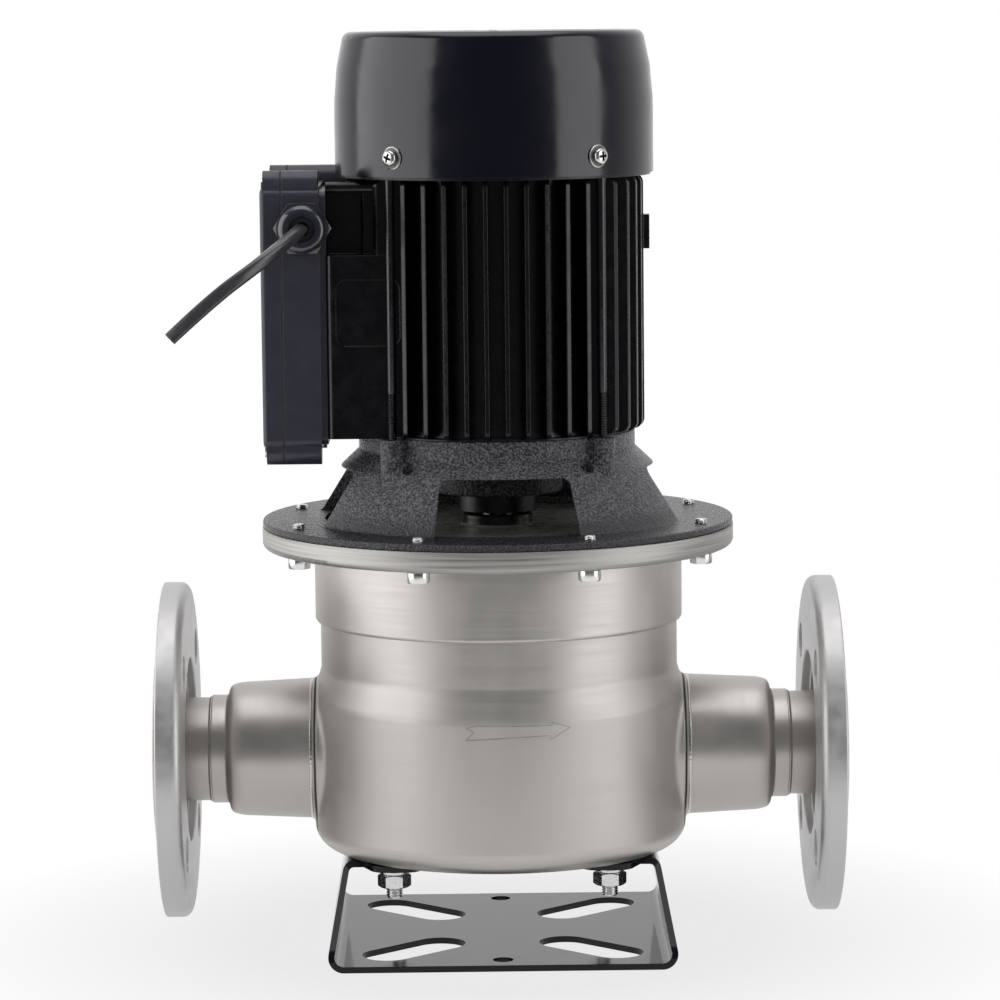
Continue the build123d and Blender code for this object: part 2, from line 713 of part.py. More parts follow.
vane = Pos(0, 0, vane_bottom) * extrude(vane_section, amount=VANE_HEIGHT)
vane &= disc(IMPELLER_RADIUS, vane_bottom, vane_top)
for copy in around(VANE_COUNT, 0, vane):
    impeller += copy
impeller -= disc(pump_shaft_radius, EYE_BOTTOM, hub_top + 1)
key_bottom = hub_bottom + (HUB_LENGTH - KEY_LENGTH) / 2
key = Pos(0, pump_shaft_radius, key_bottom) * Box(
    KEY_WIDTH, 2 * KEY_DEPTH, KEY_LENGTH, align=(Align.CENTER, Align.CENTER, Align.MIN)
)
impeller -= key
save("impeller", impeller)
save("impeller_key", key)

impeller_nut = hexagon(IMPELLER_NUT_FLATS, hub_bottom - IMPELLER_NUT_HEIGHT, hub_bottom)
impeller_nut -= disc(SHAFT_THREAD / 2, hub_bottom - 2 * IMPELLER_NUT_HEIGHT, hub_bottom + 1)
save("impeller_nut", impeller_nut)

thread_bottom = hub_bottom - IMPELLER_NUT_HEIGHT - 2
pump_shaft = turned(
    [
        (0, thread_bottom, 0),
        (SHAFT_THREAD / 2, thread_bottom, 0),
        (SHAFT_THREAD / 2, hub_bottom, 0),
        (pump_shaft_radius, hub_bottom, 0),
        (pump_shaft_radius, pump_shaft_top, 0),
        (0, pump_shaft_top, 0),
    ]
)
save("pump_shaft", pump_shaft - key)

# Mechanical seal: fixed seat in the cover, turning head pushed up by a spring on the hub
seal_seat = ring(SEAT_BORE / 2, SEAT_RADIUS, seat_bottom, SEAL_CUP_TOP - COVER_SHEET)
save("seal_seat", seal_seat)
seal_head = turned(
    [
        (pump_shaft_radius, seal_head_bottom, 0),
        (SEAL_HEAD_RADIUS, seal_head_bottom, 0),
        (SEAL_HEAD_RADIUS, seal_head_top - 2, 0),
        (SEAL_HEAD_RADIUS - 1.5, seal_head_top - 2, 0),
        (SEAL_HEAD_RADIUS - 1.5, seal_head_top, 0),
        (pump_shaft_radius, seal_head_top, 0),
    ]
)
save("seal_head", seal_head)
spring_height = seal_head_bottom - hub_top - SPRING_WIRE
spring_path = Pos(0, 0, hub_top + SPRING_WIRE / 2) * Helix(
    pitch=spring_height / SPRING_TURNS, height=spring_height, radius=SPRING_MEAN_RADIUS
)
spring_start = Plane(origin=spring_path @ 0, z_dir=spring_path % 0)
seal_spring = sweep(spring_start * Circle(SPRING_WIRE / 2), path=spring_path, is_frenet=True)
save("seal_spring", seal_spring)

# Coupling: a slit clamp sleeve over both shaft ends
screw_heights = [
    COUPLING_BOTTOM + (COUPLING_TOP - COUPLING_BOTTOM) * share for share in (0.27, 0.73)
]
coupling = disc(COUPLING_RADIUS, COUPLING_BOTTOM, COUPLING_TOP)
coupling -= disc(pump_shaft_radius, COUPLING_BOTTOM - 1, coupling_middle)
coupling -= disc(COUPLING_SHAFT / 2, coupling_middle, COUPLING_TOP + 1)
coupling -= Pos(COUPLING_RADIUS, 0, coupling_middle) * Box(
    2 * COUPLING_RADIUS, COUPLING_SLIT, 2 * (COUPLING_TOP - COUPLING_BOTTOM)
)
coupling_screws = []
seat_y = -math.sqrt(COUPLING_RADIUS**2 - COUPLING_SCREW_X**2) + COUPLING_SCREW_DEPTH
coupling_envelope = disc(COUPLING_RADIUS, COUPLING_BOTTOM, COUPLING_TOP)
for height in screw_heights:
    seat = Pos(COUPLING_SCREW_X, seat_y, height) * Rot(90, 0, 0)
    pocket = disc(COUPLING_SCREW_HEAD / 2, 0, COUPLING_RADIUS)
    shank = disc(COUPLING_SCREW / 2, 2 * seat_y, 0)
    coupling -= seat * (pocket + shank)
    coupling_screws.append(seat * (pocket + shank) & coupling_envelope)
save("coupling", coupling)
save("coupling_screws", *coupling_screws)

# Lantern: cast cone from the casing plate up to the motor, with three windows
cone_inner_low = LANTERN_FOOT_RADIUS - LANTERN_WALL
cone_inner_high = LANTERN_SHOULDER_RADIUS - LANTERN_WALL
web_bottom = LANTERN_TOP - LANTERN_WEB
lantern = turned(
    [
        (cone_inner_low, FLANGE_TOP, 0),
        (LANTERN_RADIUS, FLANGE_TOP, 0.8),
        (LANTERN_RADIUS, plate_top, 0.8),
        (LANTERN_FOOT_RADIUS, plate_top, LANTERN_FOOT_FILLET),
        (LANTERN_SHOULDER_RADIUS, LANTERN_SHOULDER, 6),
        (LANTERN_RING_RADIUS, LANTERN_RING_BOTTOM, 2),
        (LANTERN_RING_RADIUS, LANTERN_TOP, 0.8),
        (spigot_radius, LANTERN_TOP, 0),
        (spigot_radius, LANTERN_TOP + SPIGOT_HEIGHT, 0),
        (spigot_radius - SPIGOT_WALL, LANTERN_TOP + SPIGOT_HEIGHT, 0),
        (spigot_radius - SPIGOT_WALL, LANTERN_TOP, 0),
        (bearing_seat, LANTERN_TOP, 0),
        (bearing_seat, LOWER_BEARING_BOTTOM, 0),
        (bearing_seat - 2, LOWER_BEARING_BOTTOM, 0),
        (bearing_seat - 2, LANTERN_HUB_BOTTOM, 0),
        (LANTERN_HUB_RADIUS, LANTERN_HUB_BOTTOM, 2),
        (LANTERN_HUB_RADIUS, web_bottom, 4),
        (cone_inner_high - 4, web_bottom, 3),
        (cone_inner_high, LANTERN_SHOULDER - 2, 0),
        (cone_inner_low, plate_top, 0),
    ]
)
rod_boss = Pos(ROD_CIRCLE / 2, 0, 0) * disc(ROD_BOSS_RADIUS, LANTERN_TOP - ROD_BOSS_DEPTH, LANTERN_TOP)
boss_filler = Pos(ROD_CIRCLE / 2 - ROD_BOSS_RADIUS, 0, web_bottom) * Box(
    2 * ROD_BOSS_RADIUS, 2 * ROD_BOSS_RADIUS, LANTERN_WEB, align=(Align.CENTER, Align.CENTER, Align.MIN)
)
for part in around(4, 45, rod_boss + boss_filler):
    lantern += part
pocket = Pos(ROD_CIRCLE / 2, 0, 0) * disc(TOOL_POCKET_RADIUS, TOOL_POCKET_BOTTOM, LANTERN_TOP + 1)
for start in (45 + TOOL_POCKET_TURN, 135 - TOOL_POCKET_TURN):
    for part in around(2, start, pocket):
        lantern -= part
tapped_hole = disc(ROD / 2, LANTERN_TOP - ROD_ENGAGEMENT, LANTERN_TOP + 1)
for part in around(4, 45, Pos(ROD_CIRCLE / 2, 0, 0) * tapped_hole):
    lantern -= part
window = outline(
    [
        (-WINDOW_BOTTOM_HALF, plate_top, 0),
        (WINDOW_BOTTOM_HALF, plate_top, 0),
        (WINDOW_TOP_HALF, WINDOW_TOP, WINDOW_CORNER),
        (-WINDOW_TOP_HALF, WINDOW_TOP, WINDOW_CORNER),
    ]
)
window_cut = Pos(0, -LANTERN_HUB_RADIUS - 4, 0) * extrude(Plane.XZ * window, amount=LANTERN_FOOT_RADIUS)
for turn in (-90, 0, 90):
    lantern -= Rot(0, 0, turn + WINDOW_TURN) * window_cut
for place in screw_places:
    lantern -= place * disc(LID_SCREW / 2, FLANGE_TOP - 1, plate_top + 1)
save("lantern", lantern)


# Two equal deep-groove ball bearings
def bearing(position, bottom):
    middle_height = bottom + BEARING_WIDTH / 2
    groove = Pos(ball_circle, 0, middle_height) * (Plane.XZ * Circle(BALL / 2))
    wide_groove = Pos(ball_circle, 0, middle_height) * (Plane.XZ * Circle(BALL / 2 + BALL_PLAY))
    outer = ring(bearing_seat - RACE_SHOULDER, bearing_seat, bottom, bottom + BEARING_WIDTH)
    inner = ring(bearing_bore, bearing_bore + RACE_SHOULDER, bottom, bottom + BEARING_WIDTH)
    ball = Pos(ball_circle, 0, middle_height) * Sphere(BALL / 2)
    save(f"{position}_bearing_outer", outer - revolve(wide_groove, Axis.Z))
    save(f"{position}_bearing_inner", inner - revolve(groove, Axis.Z))
    save(f"{position}_bearing_balls", *around(BALLS, 0, ball))


bearing("lower", LOWER_BEARING_BOTTOM)
bearing("upper", UPPER_BEARING_BOTTOM)

# Motor housing: tube with parallel fins on four sides and a flat pad for the terminal box
fin_reach = turned(
    [
        (STATOR_RADIUS, FIN_BOTTOM, 0),
        (FIN_RADIUS, FIN_BOTTOM, FIN_CORNER),
        (FIN_RADIUS, HOUSING_TOP, FIN_TOP_CORNER),
        (STATOR_RADIUS, HOUSING_TOP, 0),
    ]
)
fin_height = HOUSING_TOP - FIN_BOTTOM
fins = []
for row in range(FINS_PER_SIDE):
    offset = (row - (FINS_PER_SIDE - 1) / 2) * FIN_PITCH
    for turn in (0, 90, 180, 270):
        fins.append(
            Rot(0, 0, turn)
            * Pos(offset, -FIN_RADIUS, FIN_BOTTOM)
            * Box(FIN_THICKNESS, FIN_RADIUS, fin_height, align=(Align.CENTER, Align.CENTER, Align.MIN))
        )
motor_housing = ring(STATOR_RADIUS, housing_root, FIN_BOTTOM, HOUSING_TOP)
motor_housing += ring(STATOR_RADIUS, RIM_RADIUS, LANTERN_TOP, FIN_BOTTOM)
motor_housing += Compound(children=fins) & fin_reach
pad_height = PAD_TOP - LANTERN_TOP
pad = Pos(-PAD_X, 0, LANTERN_TOP) * Box(
    PAD_X - STATOR_RADIUS / 2, 2 * PAD_HALF_WIDTH, pad_height, align=(Align.MIN, Align.CENTER, Align.MIN)
)
pad = fillet(pad.edges().filter_by(Axis.Z).group_by(Axis.X)[0], 3)
pad += Pos(-PAD_X, 0, LANTERN_TOP) * Box(
    PAD_X - STATOR_RADIUS / 2,
    2 * PAD_NECK_HALF_WIDTH,
    PAD_NECK_TOP - LANTERN_TOP,
    align=(Align.MIN, Align.CENTER, Align.MIN),
)
motor_housing += pad - disc(housing_root - 1, LANTERN_TOP, HOUSING_TOP)
lug = Pos(housing_root, 0, SIDE_LUG_BOTTOM) * Box(
    SIDE_LUG_X - housing_root,
    SIDE_LUG_WIDTH,
    SIDE_LUG_TOP - SIDE_LUG_BOTTOM,
    align=(Align.MIN, Align.CENTER, Align.MIN),
)
motor_housing += lug
for side, stay_end in ((-1, PAD_X), (1, BOX_REAR_BOSS_X)):
    stay = Rot(0, 90, 0) * disc(BOX_STAY / 2, -stay_end, -STATOR_RADIUS / 2)
    bar = Pos(0, side * BOX_STAY_Y, BOX_STAY_HEIGHT) * stay
    motor_housing += bar - disc(housing_root - 1, LANTERN_TOP, HOUSING_TOP)
panel = outline(
    [
        (-PAD_PANEL_OUTER_X, PAD_PANEL_BOTTOM, 5),
        (-PAD_PANEL_INNER_X, PAD_PANEL_BOTTOM, 5),
        (-PAD_PANEL_INNER_X, PAD_PANEL_TOP, 5),
        (-PAD_PANEL_OUTER_X, PAD_PANEL_TOP, 5),
    ]
)
panel_cut = extrude(Plane.XZ * panel, amount=PAD_PANEL_LINE)
motor_housing -= Pos(0, -PAD_HALF_WIDTH + PAD_PANEL_LINE, 0) * panel_cut
motor_housing -= Pos(-PAD_X, 0, WIRE_HOLE_HEIGHT) * Rot(0, 90, 0) * Cylinder(WIRE_HOLE / 2, PAD_X)
save("motor_housing", motor_housing)

# Stator and its two winding heads
save("stator_core", ring(STATOR_BORE, STATOR_RADIUS, STATOR_BOTTOM, stator_top))
lower_head = turned(
    [
        (WINDING_INNER, STATOR_BOTTOM - WINDING_HEIGHT, 5),
        (WINDING_OUTER, STATOR_BOTTOM - WINDING_HEIGHT, 6),
        (WINDING_OUTER, STATOR_BOTTOM, 0),
        (WINDING_INNER, STATOR_BOTTOM, 0),
    ]
)
upper_head = mirror(lower_head, Plane.XY.offset((STATOR_BOTTOM + stator_top) / 2))
save("stator_windings", lower_head, upper_head)

# Rotor: core with cast end rings on a stepped shaft
save("rotor_core", ring(ROTOR_SHAFT / 2, rotor_radius, STATOR_BOTTOM, stator_top))
end_ring = ring(rotor_radius - END_RING_WIDTH, rotor_radius - 0.5, stator_top, stator_top + END_RING)
save(
    "rotor_rings",
    end_ring,
    mirror(end_ring, Plane.XY.offset((STATOR_BOTTOM + stator_top) / 2)),
)
lower_shoulder = LOWER_BEARING_BOTTOM + BEARING_WIDTH
clip_bottom = fan_hub_top
motor_shaft = turned(
    [
        (0, motor_shaft_bottom, 0),
        (COUPLING_SHAFT / 2, motor_shaft_bottom, 0),
        (COUPLING_SHAFT / 2, LOWER_BEARING_BOTTOM - 1, 0),
        (bearing_bore, LOWER_BEARING_BOTTOM - 1, 0),
        (bearing_bore, lower_shoulder, 0),
        (ROTOR_SHAFT / 2, lower_shoulder, 0),
        (ROTOR_SHAFT / 2, UPPER_BEARING_BOTTOM, 0),
        (bearing_bore, UPPER_BEARING_BOTTOM, 0),
        (bearing_bore, upper_bearing_top + 1, 0),
        (FAN_SHAFT / 2, upper_bearing_top + 1, 0),
        (FAN_SHAFT / 2, clip_bottom, 0),
        (FAN_SHAFT / 2 - CLIP_GROOVE, clip_bottom, 0),
        (FAN_SHAFT / 2 - CLIP_GROOVE, clip_bottom + FAN_CLIP, 0),
        (FAN_SHAFT / 2, clip_bottom + FAN_CLIP, 0),
        (FAN_SHAFT / 2, MOTOR_SHAFT_TOP, 1),
        (0, MOTOR_SHAFT_TOP, 0),
    ]
)
save("motor_shaft", motor_shaft)

# Upper end shield: closes the housing, holds the upper bearing and the fan cover posts
upper_shield = turned(
    [
        (SHIELD_SHAFT_HOLE / 2, shield_bore_top, 0),
        (bearing_seat, shield_bore_top, 0),
        (bearing_seat, UPPER_BEARING_BOTTOM, 0),
        (SHIELD_HUB_RADIUS, UPPER_BEARING_BOTTOM, 0),
        (SHIELD_HUB_RADIUS, shield_bottom, 2),
        (spigot_radius - SPIGOT_WALL, shield_bottom, 0),
        (spigot_radius - SPIGOT_WALL, shield_bottom - SPIGOT_HEIGHT, 0),
        (spigot_radius, shield_bottom - SPIGOT_HEIGHT, 0),
        (spigot_radius, shield_bottom, 0),
        (shield_radius, shield_bottom, 0),
        (shield_radius, shield_top, 0.8),
        (SHIELD_HUB_RADIUS, shield_top, 2),
        (SHIELD_HUB_RADIUS, shield_hub_top, 1),
        (SHIELD_SHAFT_HOLE / 2, shield_hub_top, 0),
    ]
)
post_angles = [turn + side * COVER_POST_ANGLE for turn in (90, 270) for side in (-1, 1)]
post = Pos(shield_radius, 0, shield_top) * Box(
    2 * COVER_POST_DEPTH,
    COVER_POST_WIDTH,
    COVER_POST_TOP - shield_top,
    align=(Align.CENTER, Align.CENTER, Align.MIN),
)
post &= disc(cover_inner, shield_top, COVER_POST_TOP)
screw_hole = Rot(0, 90, 0) * Cylinder(COVER_SCREW / 2, 2 * COVER_SCREW_LENGTH)
screw_hole = Pos(cover_inner, 0, COVER_SCREW_HEIGHT) * screw_hole
for angle in post_angles:
    upper_shield += Rot(0, 0, angle) * post
    upper_shield -= Rot(0, 0, angle) * screw_hole
rod_hole = Pos(ROD_CIRCLE / 2, 0, 0) * disc(ROD_HOLE / 2, shield_bottom - 1, shield_top + 1)
for part in around(4, 45, rod_hole):
    upper_shield -= part
save("upper_shield", upper_shield)

save("wave_spring", ring(bearing_seat - 4, bearing_seat - 0.3, upper_bearing_top, shield_bore_top))

# Four long tie rods hold the motor together and screw into the lantern bosses
rod = disc(ROD / 2, LANTERN_TOP - ROD_ENGAGEMENT, shield_top)
rod += hexagon(ROD_HEAD_FLATS, shield_top, shield_top + ROD_HEAD)
save("tie_rods", *around(4, 45, Pos(ROD_CIRCLE / 2, 0, 0) * rod))

# Fan on the shaft above the shield, kept by a clip
fan = disc(FAN_HUB_RADIUS, FAN_BOTTOM, fan_hub_top) + disc(FAN_RADIUS, FAN_BOTTOM, FAN_BOTTOM + FAN_DISC)
blade = Pos(FAN_BLADE_INNER, 0, FAN_BOTTOM) * Box(
    FAN_RADIUS - FAN_BLADE_INNER,
    FAN_BLADE_THICKNESS,
    FAN_BLADE_HEIGHT,
    align=(Align.MIN, Align.CENTER, Align.MIN),
)
for part in around(FAN_BLADES, 0, blade):
    fan += part
fan -= disc(FAN_SHAFT / 2, FAN_BOTTOM - 1, fan_hub_top + 1)
save("fan", fan)
fan_clip = ring(FAN_SHAFT / 2 - CLIP_GROOVE, FAN_CLIP_RADIUS, clip_bottom, clip_bottom + FAN_CLIP)
fan_clip -= Pos(FAN_CLIP_RADIUS, 0, clip_bottom) * Box(FAN_CLIP_RADIUS, FAN_SHAFT / 3, 4 * FAN_CLIP)
save("fan_clip", fan_clip)

# Fan cover: deep-drawn steel cap with radial air slots in its crown
fan_cover = turned(
    [
        (0, FAN_COVER_TOP, 0),
        (FAN_COVER_CROWN_RADIUS, FAN_COVER_TOP, FAN_COVER_CROWN_CORNER),
        (FAN_COVER_WAIST_RADIUS, FAN_COVER_WAIST, 30),
        (FAN_COVER_RADIUS, FAN_COVER_WALL_TOP, 50),
        (FAN_COVER_RADIUS, FAN_COVER_BOTTOM, 0),
        (cover_inner, FAN_COVER_BOTTOM, 0),
        (cover_inner, FAN_COVER_WALL_TOP, 50),
        (FAN_COVER_WAIST_RADIUS - FAN_COVER_SHEET, FAN_COVER_WAIST, 30),
        (
            FAN_COVER_CROWN_RADIUS - FAN_COVER_SHEET,
            FAN_COVER_TOP - FAN_COVER_SHEET,
            FAN_COVER_CROWN_CORNER - FAN_COVER_SHEET,
        ),
        (0, FAN_COVER_TOP - FAN_COVER_SHEET, 0),
    ]
)
vent_length = VENT_OUTER - VENT_INNER
vent = Pos((VENT_OUTER + VENT_INNER) / 2, 0, FAN_COVER_TOP) * extrude(
    SlotOverall(vent_length, VENT_SLOT_WIDTH), amount=2 * FAN_COVER_SHEET, both=True
)
for part in around(VENT_SLOTS, 0, vent):
    fan_cover -= part
for angle in post_angles:
    fan_cover -= Rot(0, 0, angle) * screw_hole
save("fan_cover", fan_cover)

# Cover screws and washers, each on its post
washer_out = FAN_COVER_RADIUS + COVER_WASHER_SHEET
radial = Pos(0, 0, COVER_SCREW_HEIGHT) * Rot(0, 90, 0)
cover_washer = radial * ring(COVER_SCREW / 2, COVER_WASHER / 2, FAN_COVER_RADIUS, washer_out)
cover_screw = radial * (
    disc(COVER_SCREW_HEAD / 2, washer_out, washer_out + COVER_SCREW_HEAD_HEIGHT)
    + disc(COVER_SCREW / 2, washer_out - COVER_SCREW_LENGTH, washer_out)
)
save("cover_washers", *[Rot(0, 0, angle) * cover_washer for angle in post_angles])
save("cover_screws", *[Rot(0, 0, angle) * cover_screw for angle in post_angles])


# Terminal box: base on the motor pad, gasket, and a deep outer cover held by four screws
def box_profile(inset):
    return outline(
        [
            (-BOX_HALF_WIDTH + inset, BOX_BOTTOM + inset, BOX_CORNER - inset / 2),
            (BOX_HALF_WIDTH - inset, BOX_BOTTOM + inset, BOX_CORNER - inset / 2),
            (BOX_HALF_WIDTH - inset, BOX_TOP - inset, BOX_CORNER - inset / 2),
            (-BOX_HALF_WIDTH + inset, BOX_TOP - inset, BOX_CORNER - inset / 2),
        ]
    )


def box_slab(inset, inner_x, outer_x):
    return Pos(-outer_x, 0, 0) * extrude(Plane.YZ * box_profile(inset), amount=outer_x - inner_x)


boss_places = [
    (side * BOX_BOSS_Y, height)
    for side in (-1, 1)
    for height in (BOX_BOTTOM - BOX_BOSS_RISE, BOX_TOP + BOX_BOSS_RISE)
]


def box_bosses(radius, inner_x, outer_x):
    rod_shape = Rot(0, 90, 0) * disc(radius, -outer_x, -inner_x)
    return [Pos(0, y, height) * rod_shape for y, height in boss_places]


gasket_inner = BOX_SPLIT_X - BOX_GASKET
box_base = box_slab(BOX_STEP, PAD_X, BOX_STEP_X) + box_slab(0, BOX_STEP_X, gasket_inner)
for boss in box_bosses(BOX_BOSS_RADIUS, BOX_BOSS_INNER_X, gasket_inner):
    box_base += boss
box_base -= box_slab(BOX_STEP + BOX_WALL, PAD_X + BOX_WALL, gasket_inner + 1)
for boss in box_bosses(BOX_BOSS_RADIUS, BOX_BOSS_INNER_X, gasket_inner):
    box_base += boss
rear_boss = Rot(0, 90, 0) * disc(BOX_BOSS_RADIUS, -BOX_BOSS_INNER_X, -BOX_REAR_BOSS_X)
box_base += Pos(0, BOX_BOSS_Y, BOX_TOP + BOX_BOSS_RISE) * rear_boss
screw_tip = BOX_OUTER_X - BOX_SCREW_SEAT - BOX_SCREW_LENGTH
for hole in box_bosses(BOX_SCREW / 2, screw_tip, BOX_OUTER_X):
    box_base -= hole
box_base -= Pos(-PAD_X, 0, WIRE_HOLE_HEIGHT) * Rot(0, 90, 0) * Cylinder(WIRE_HOLE / 2, 4 * BOX_WALL)
gland_hole = Cylinder(GLAND_THREAD / 2, 4 * (BOX_STEP + BOX_WALL))
box_base -= Pos(-GLAND_X, box_front, GLAND_HEIGHT) * Rot(90, 0, 0) * gland_hole
save("box_base", box_base)

box_gasket = box_slab(0, gasket_inner, BOX_SPLIT_X) - box_slab(
    BOX_STEP + BOX_WALL, gasket_inner - 1, BOX_SPLIT_X + 1
)
for boss in box_bosses(BOX_BOSS_RADIUS, gasket_inner, BOX_SPLIT_X):
    box_gasket += boss
for hole in box_bosses(BOX_SCREW / 2, screw_tip, BOX_OUTER_X):
    box_gasket -= hole
save("box_gasket", box_gasket)

box_cover = box_slab(0, BOX_SPLIT_X, BOX_OUTER_X)
box_cover = fillet(box_cover.faces().sort_by(Axis.X)[0].edges(), 2.5)
for boss in box_bosses(BOX_BOSS_RADIUS, BOX_SPLIT_X, BOX_OUTER_X - BOX_SCREW_SEAT / 2):
    box_cover += boss
box_cover -= box_slab(BOX_STEP + BOX_WALL, BOX_SPLIT_X - 1, BOX_OUTER_X - BOX_WALL)
for boss in box_bosses(BOX_BOSS_RADIUS, BOX_SPLIT_X, BOX_OUTER_X - BOX_SCREW_SEAT / 2):
    box_cover += boss
for hole in box_bosses(BOX_SCREW / 2, screw_tip, BOX_OUTER_X + 1):
    box_cover -= hole
for seat in box_bosses(BOX_SCREW_HEAD / 2 + 0.3, BOX_OUTER_X - BOX_SCREW_SEAT, BOX_OUTER_X + 1):
    box_cover -= seat
save("box_cover", box_cover)

screw_seat_x = BOX_OUTER_X - BOX_SCREW_SEAT
heads = box_bosses(BOX_SCREW_HEAD / 2, screw_seat_x, screw_seat_x + 2.4)
shanks = box_bosses(BOX_SCREW / 2, screw_tip, screw_seat_x)
save("box_screws", *[head + shank for head, shank in zip(heads, shanks)])

# Inside the box: terminal block and run capacitor
block_back = PAD_X + BOX_WALL
terminal_block = Pos(-block_back, BLOCK_Y, BLOCK_HEIGHT_PLACE) * Box(
    BLOCK_DEPTH, BLOCK_WIDTH, BLOCK_HEIGHT, align=(Align.MAX, Align.CENTER, Align.CENTER)
)
for row in (-1, 0, 1):
    well = Rot(0, 90, 0) * disc(2.2, -block_back - BLOCK_DEPTH - 1, -block_back - BLOCK_DEPTH + 4)
    terminal_block -= Pos(0, BLOCK_Y + row * BLOCK_WIDTH / 3.4, BLOCK_HEIGHT_PLACE) * well
save("terminal_block", terminal_block)
capacitor = Pos(-block_back - CAPACITOR_RADIUS, CAPACITOR_Y, 0) * turned(
    [
        (0, CAPACITOR_BOTTOM, 0),
        (CAPACITOR_RADIUS, CAPACITOR_BOTTOM, 1.5),
        (CAPACITOR_RADIUS, CAPACITOR_BOTTOM + CAPACITOR_LENGTH, 1.5),
        (0, CAPACITOR_BOTTOM + CAPACITOR_LENGTH, 0),
    ]
)
save("capacitor", capacitor)


# Cable gland on the front wall of the box: body, seal pressed on the lead, domed nut
gland_axis = Pos(-GLAND_X, box_front, GLAND_HEIGHT) * Rot(90, 0, 0)
cable_radius = CABLE / 2
wall_depth = BOX_STEP + BOX_WALL
thread_front = GLAND_HEX_DEPTH + GLAND_THREAD_DEPTH
nut_front = GLAND_HEX_DEPTH + GLAND_NUT_DEPTH
seal_back = thread_front - GLAND_SEAL_DEPTH + 1
gland_body = gland_axis * (
    hexagon(GLAND_FLATS, 0, GLAND_HEX_DEPTH)
    + disc(GLAND_THREAD / 2, -wall_depth, thread_front)
    - disc(GLAND_BORE / 2, -wall_depth - 1, thread_front)
    - disc(GLAND_SEAL / 2, seal_back, thread_front + 1)
)
save("gland_body", gland_body)
save("gland_seal", gland_axis * ring(cable_radius, GLAND_SEAL / 2, seal_back, thread_front + 1))
gland_nut = gland_axis * turned(
    [
        (GLAND_THREAD / 2, GLAND_HEX_DEPTH, 0),
        (GLAND_NUT_RADIUS, GLAND_HEX_DEPTH, 0),
        (GLAND_NUT_RADIUS, nut_front - 1.2, 1.5),
        (GLAND_NUT_RADIUS - 2, nut_front, 1.2),
        (GLAND_MOUTH / 2, nut_front, 0.6),
        (GLAND_MOUTH / 2, nut_front - GLAND_NUT_LIP, 0),
        (GLAND_THREAD / 2, thread_front, 0),
    ]
)
save("gland_nut", gland_nut)

# Short lead: straight runs joined by tangent arcs, from the gland to the cut end
route = [Vector(-GLAND_X, box_front - nut_front + CABLE_GRIP, GLAND_HEIGHT)]
for step in CABLE_STEPS:
    route.append(route[-1] + Vector(*step))
radii = []
for before, corner, after in zip(route, route[1:], route[2:]):
    turn = math.radians((corner - before).get_angle(after - corner))
    shorter = min((corner - before).length, (after - corner).length)
    radii.append(0.45 * shorter / math.tan(turn / 2))
print("cable arc radii:", [round(radius, 1) for radius in radii])
cable_path = FilletPolyline(*route, radius=radii)
cable_plane = Plane(origin=cable_path @ 0, z_dir=cable_path % 0)
cable = sweep(cable_plane * Circle(cable_radius), path=cable_path)
cable_section = math.pi * cable_radius**2
print("cable length:", round(cable_path.length, 1), "end:", route[-1])
print("cable volume against section times length:", cable.volume / (cable_section * cable_path.length))
save("cable", cable)
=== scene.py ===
import math

import bmesh
import bpy
from mathutils import Matrix, Vector


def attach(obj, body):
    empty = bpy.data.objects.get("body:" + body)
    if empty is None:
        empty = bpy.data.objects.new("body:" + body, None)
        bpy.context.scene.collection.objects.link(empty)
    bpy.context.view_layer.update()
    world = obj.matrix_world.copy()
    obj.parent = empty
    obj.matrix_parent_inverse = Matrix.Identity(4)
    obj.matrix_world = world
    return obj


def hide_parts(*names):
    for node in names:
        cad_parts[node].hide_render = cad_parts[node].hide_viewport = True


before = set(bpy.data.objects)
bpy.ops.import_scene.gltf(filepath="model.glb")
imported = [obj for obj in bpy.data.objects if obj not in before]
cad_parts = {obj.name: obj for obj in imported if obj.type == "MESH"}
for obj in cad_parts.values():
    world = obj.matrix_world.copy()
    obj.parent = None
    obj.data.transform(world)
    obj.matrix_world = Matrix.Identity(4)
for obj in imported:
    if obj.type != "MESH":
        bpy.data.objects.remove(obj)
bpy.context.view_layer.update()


# The camera stands two metres in front of the pump, level with the top of the motor, and
# looks a little down at the lantern through a long lens.
CAMERA_PLACE = (-0.01398, -1.99995, 0.4545)
CAMERA_PAN = -0.435
CAMERA_TILT = 83.23
CAMERA_ROLL = -0.58
LENS_LENGTH = 147.78
FILM_WIDTH = 36
FARTHEST_SEEN = 50

lens = bpy.data.cameras.new("camera")
lens.lens = LENS_LENGTH
lens.sensor_width = FILM_WIDTH
lens.clip_end = FARTHEST_SEEN
camera = bpy.data.objects.new("camera", lens)
bpy.context.scene.collection.objects.link(camera)
camera.matrix_world = (
    Matrix.Translation(CAMERA_PLACE)
    @ Matrix.Rotation(math.radians(CAMERA_PAN), 4, "Z")
    @ Matrix.Rotation(math.radians(CAMERA_TILT), 4, "X")
    @ Matrix.Rotation(math.radians(CAMERA_ROLL), 4, "Z")
)
bpy.context.scene.camera = camera
bpy.context.scene.view_settings.view_transform = "Standard"


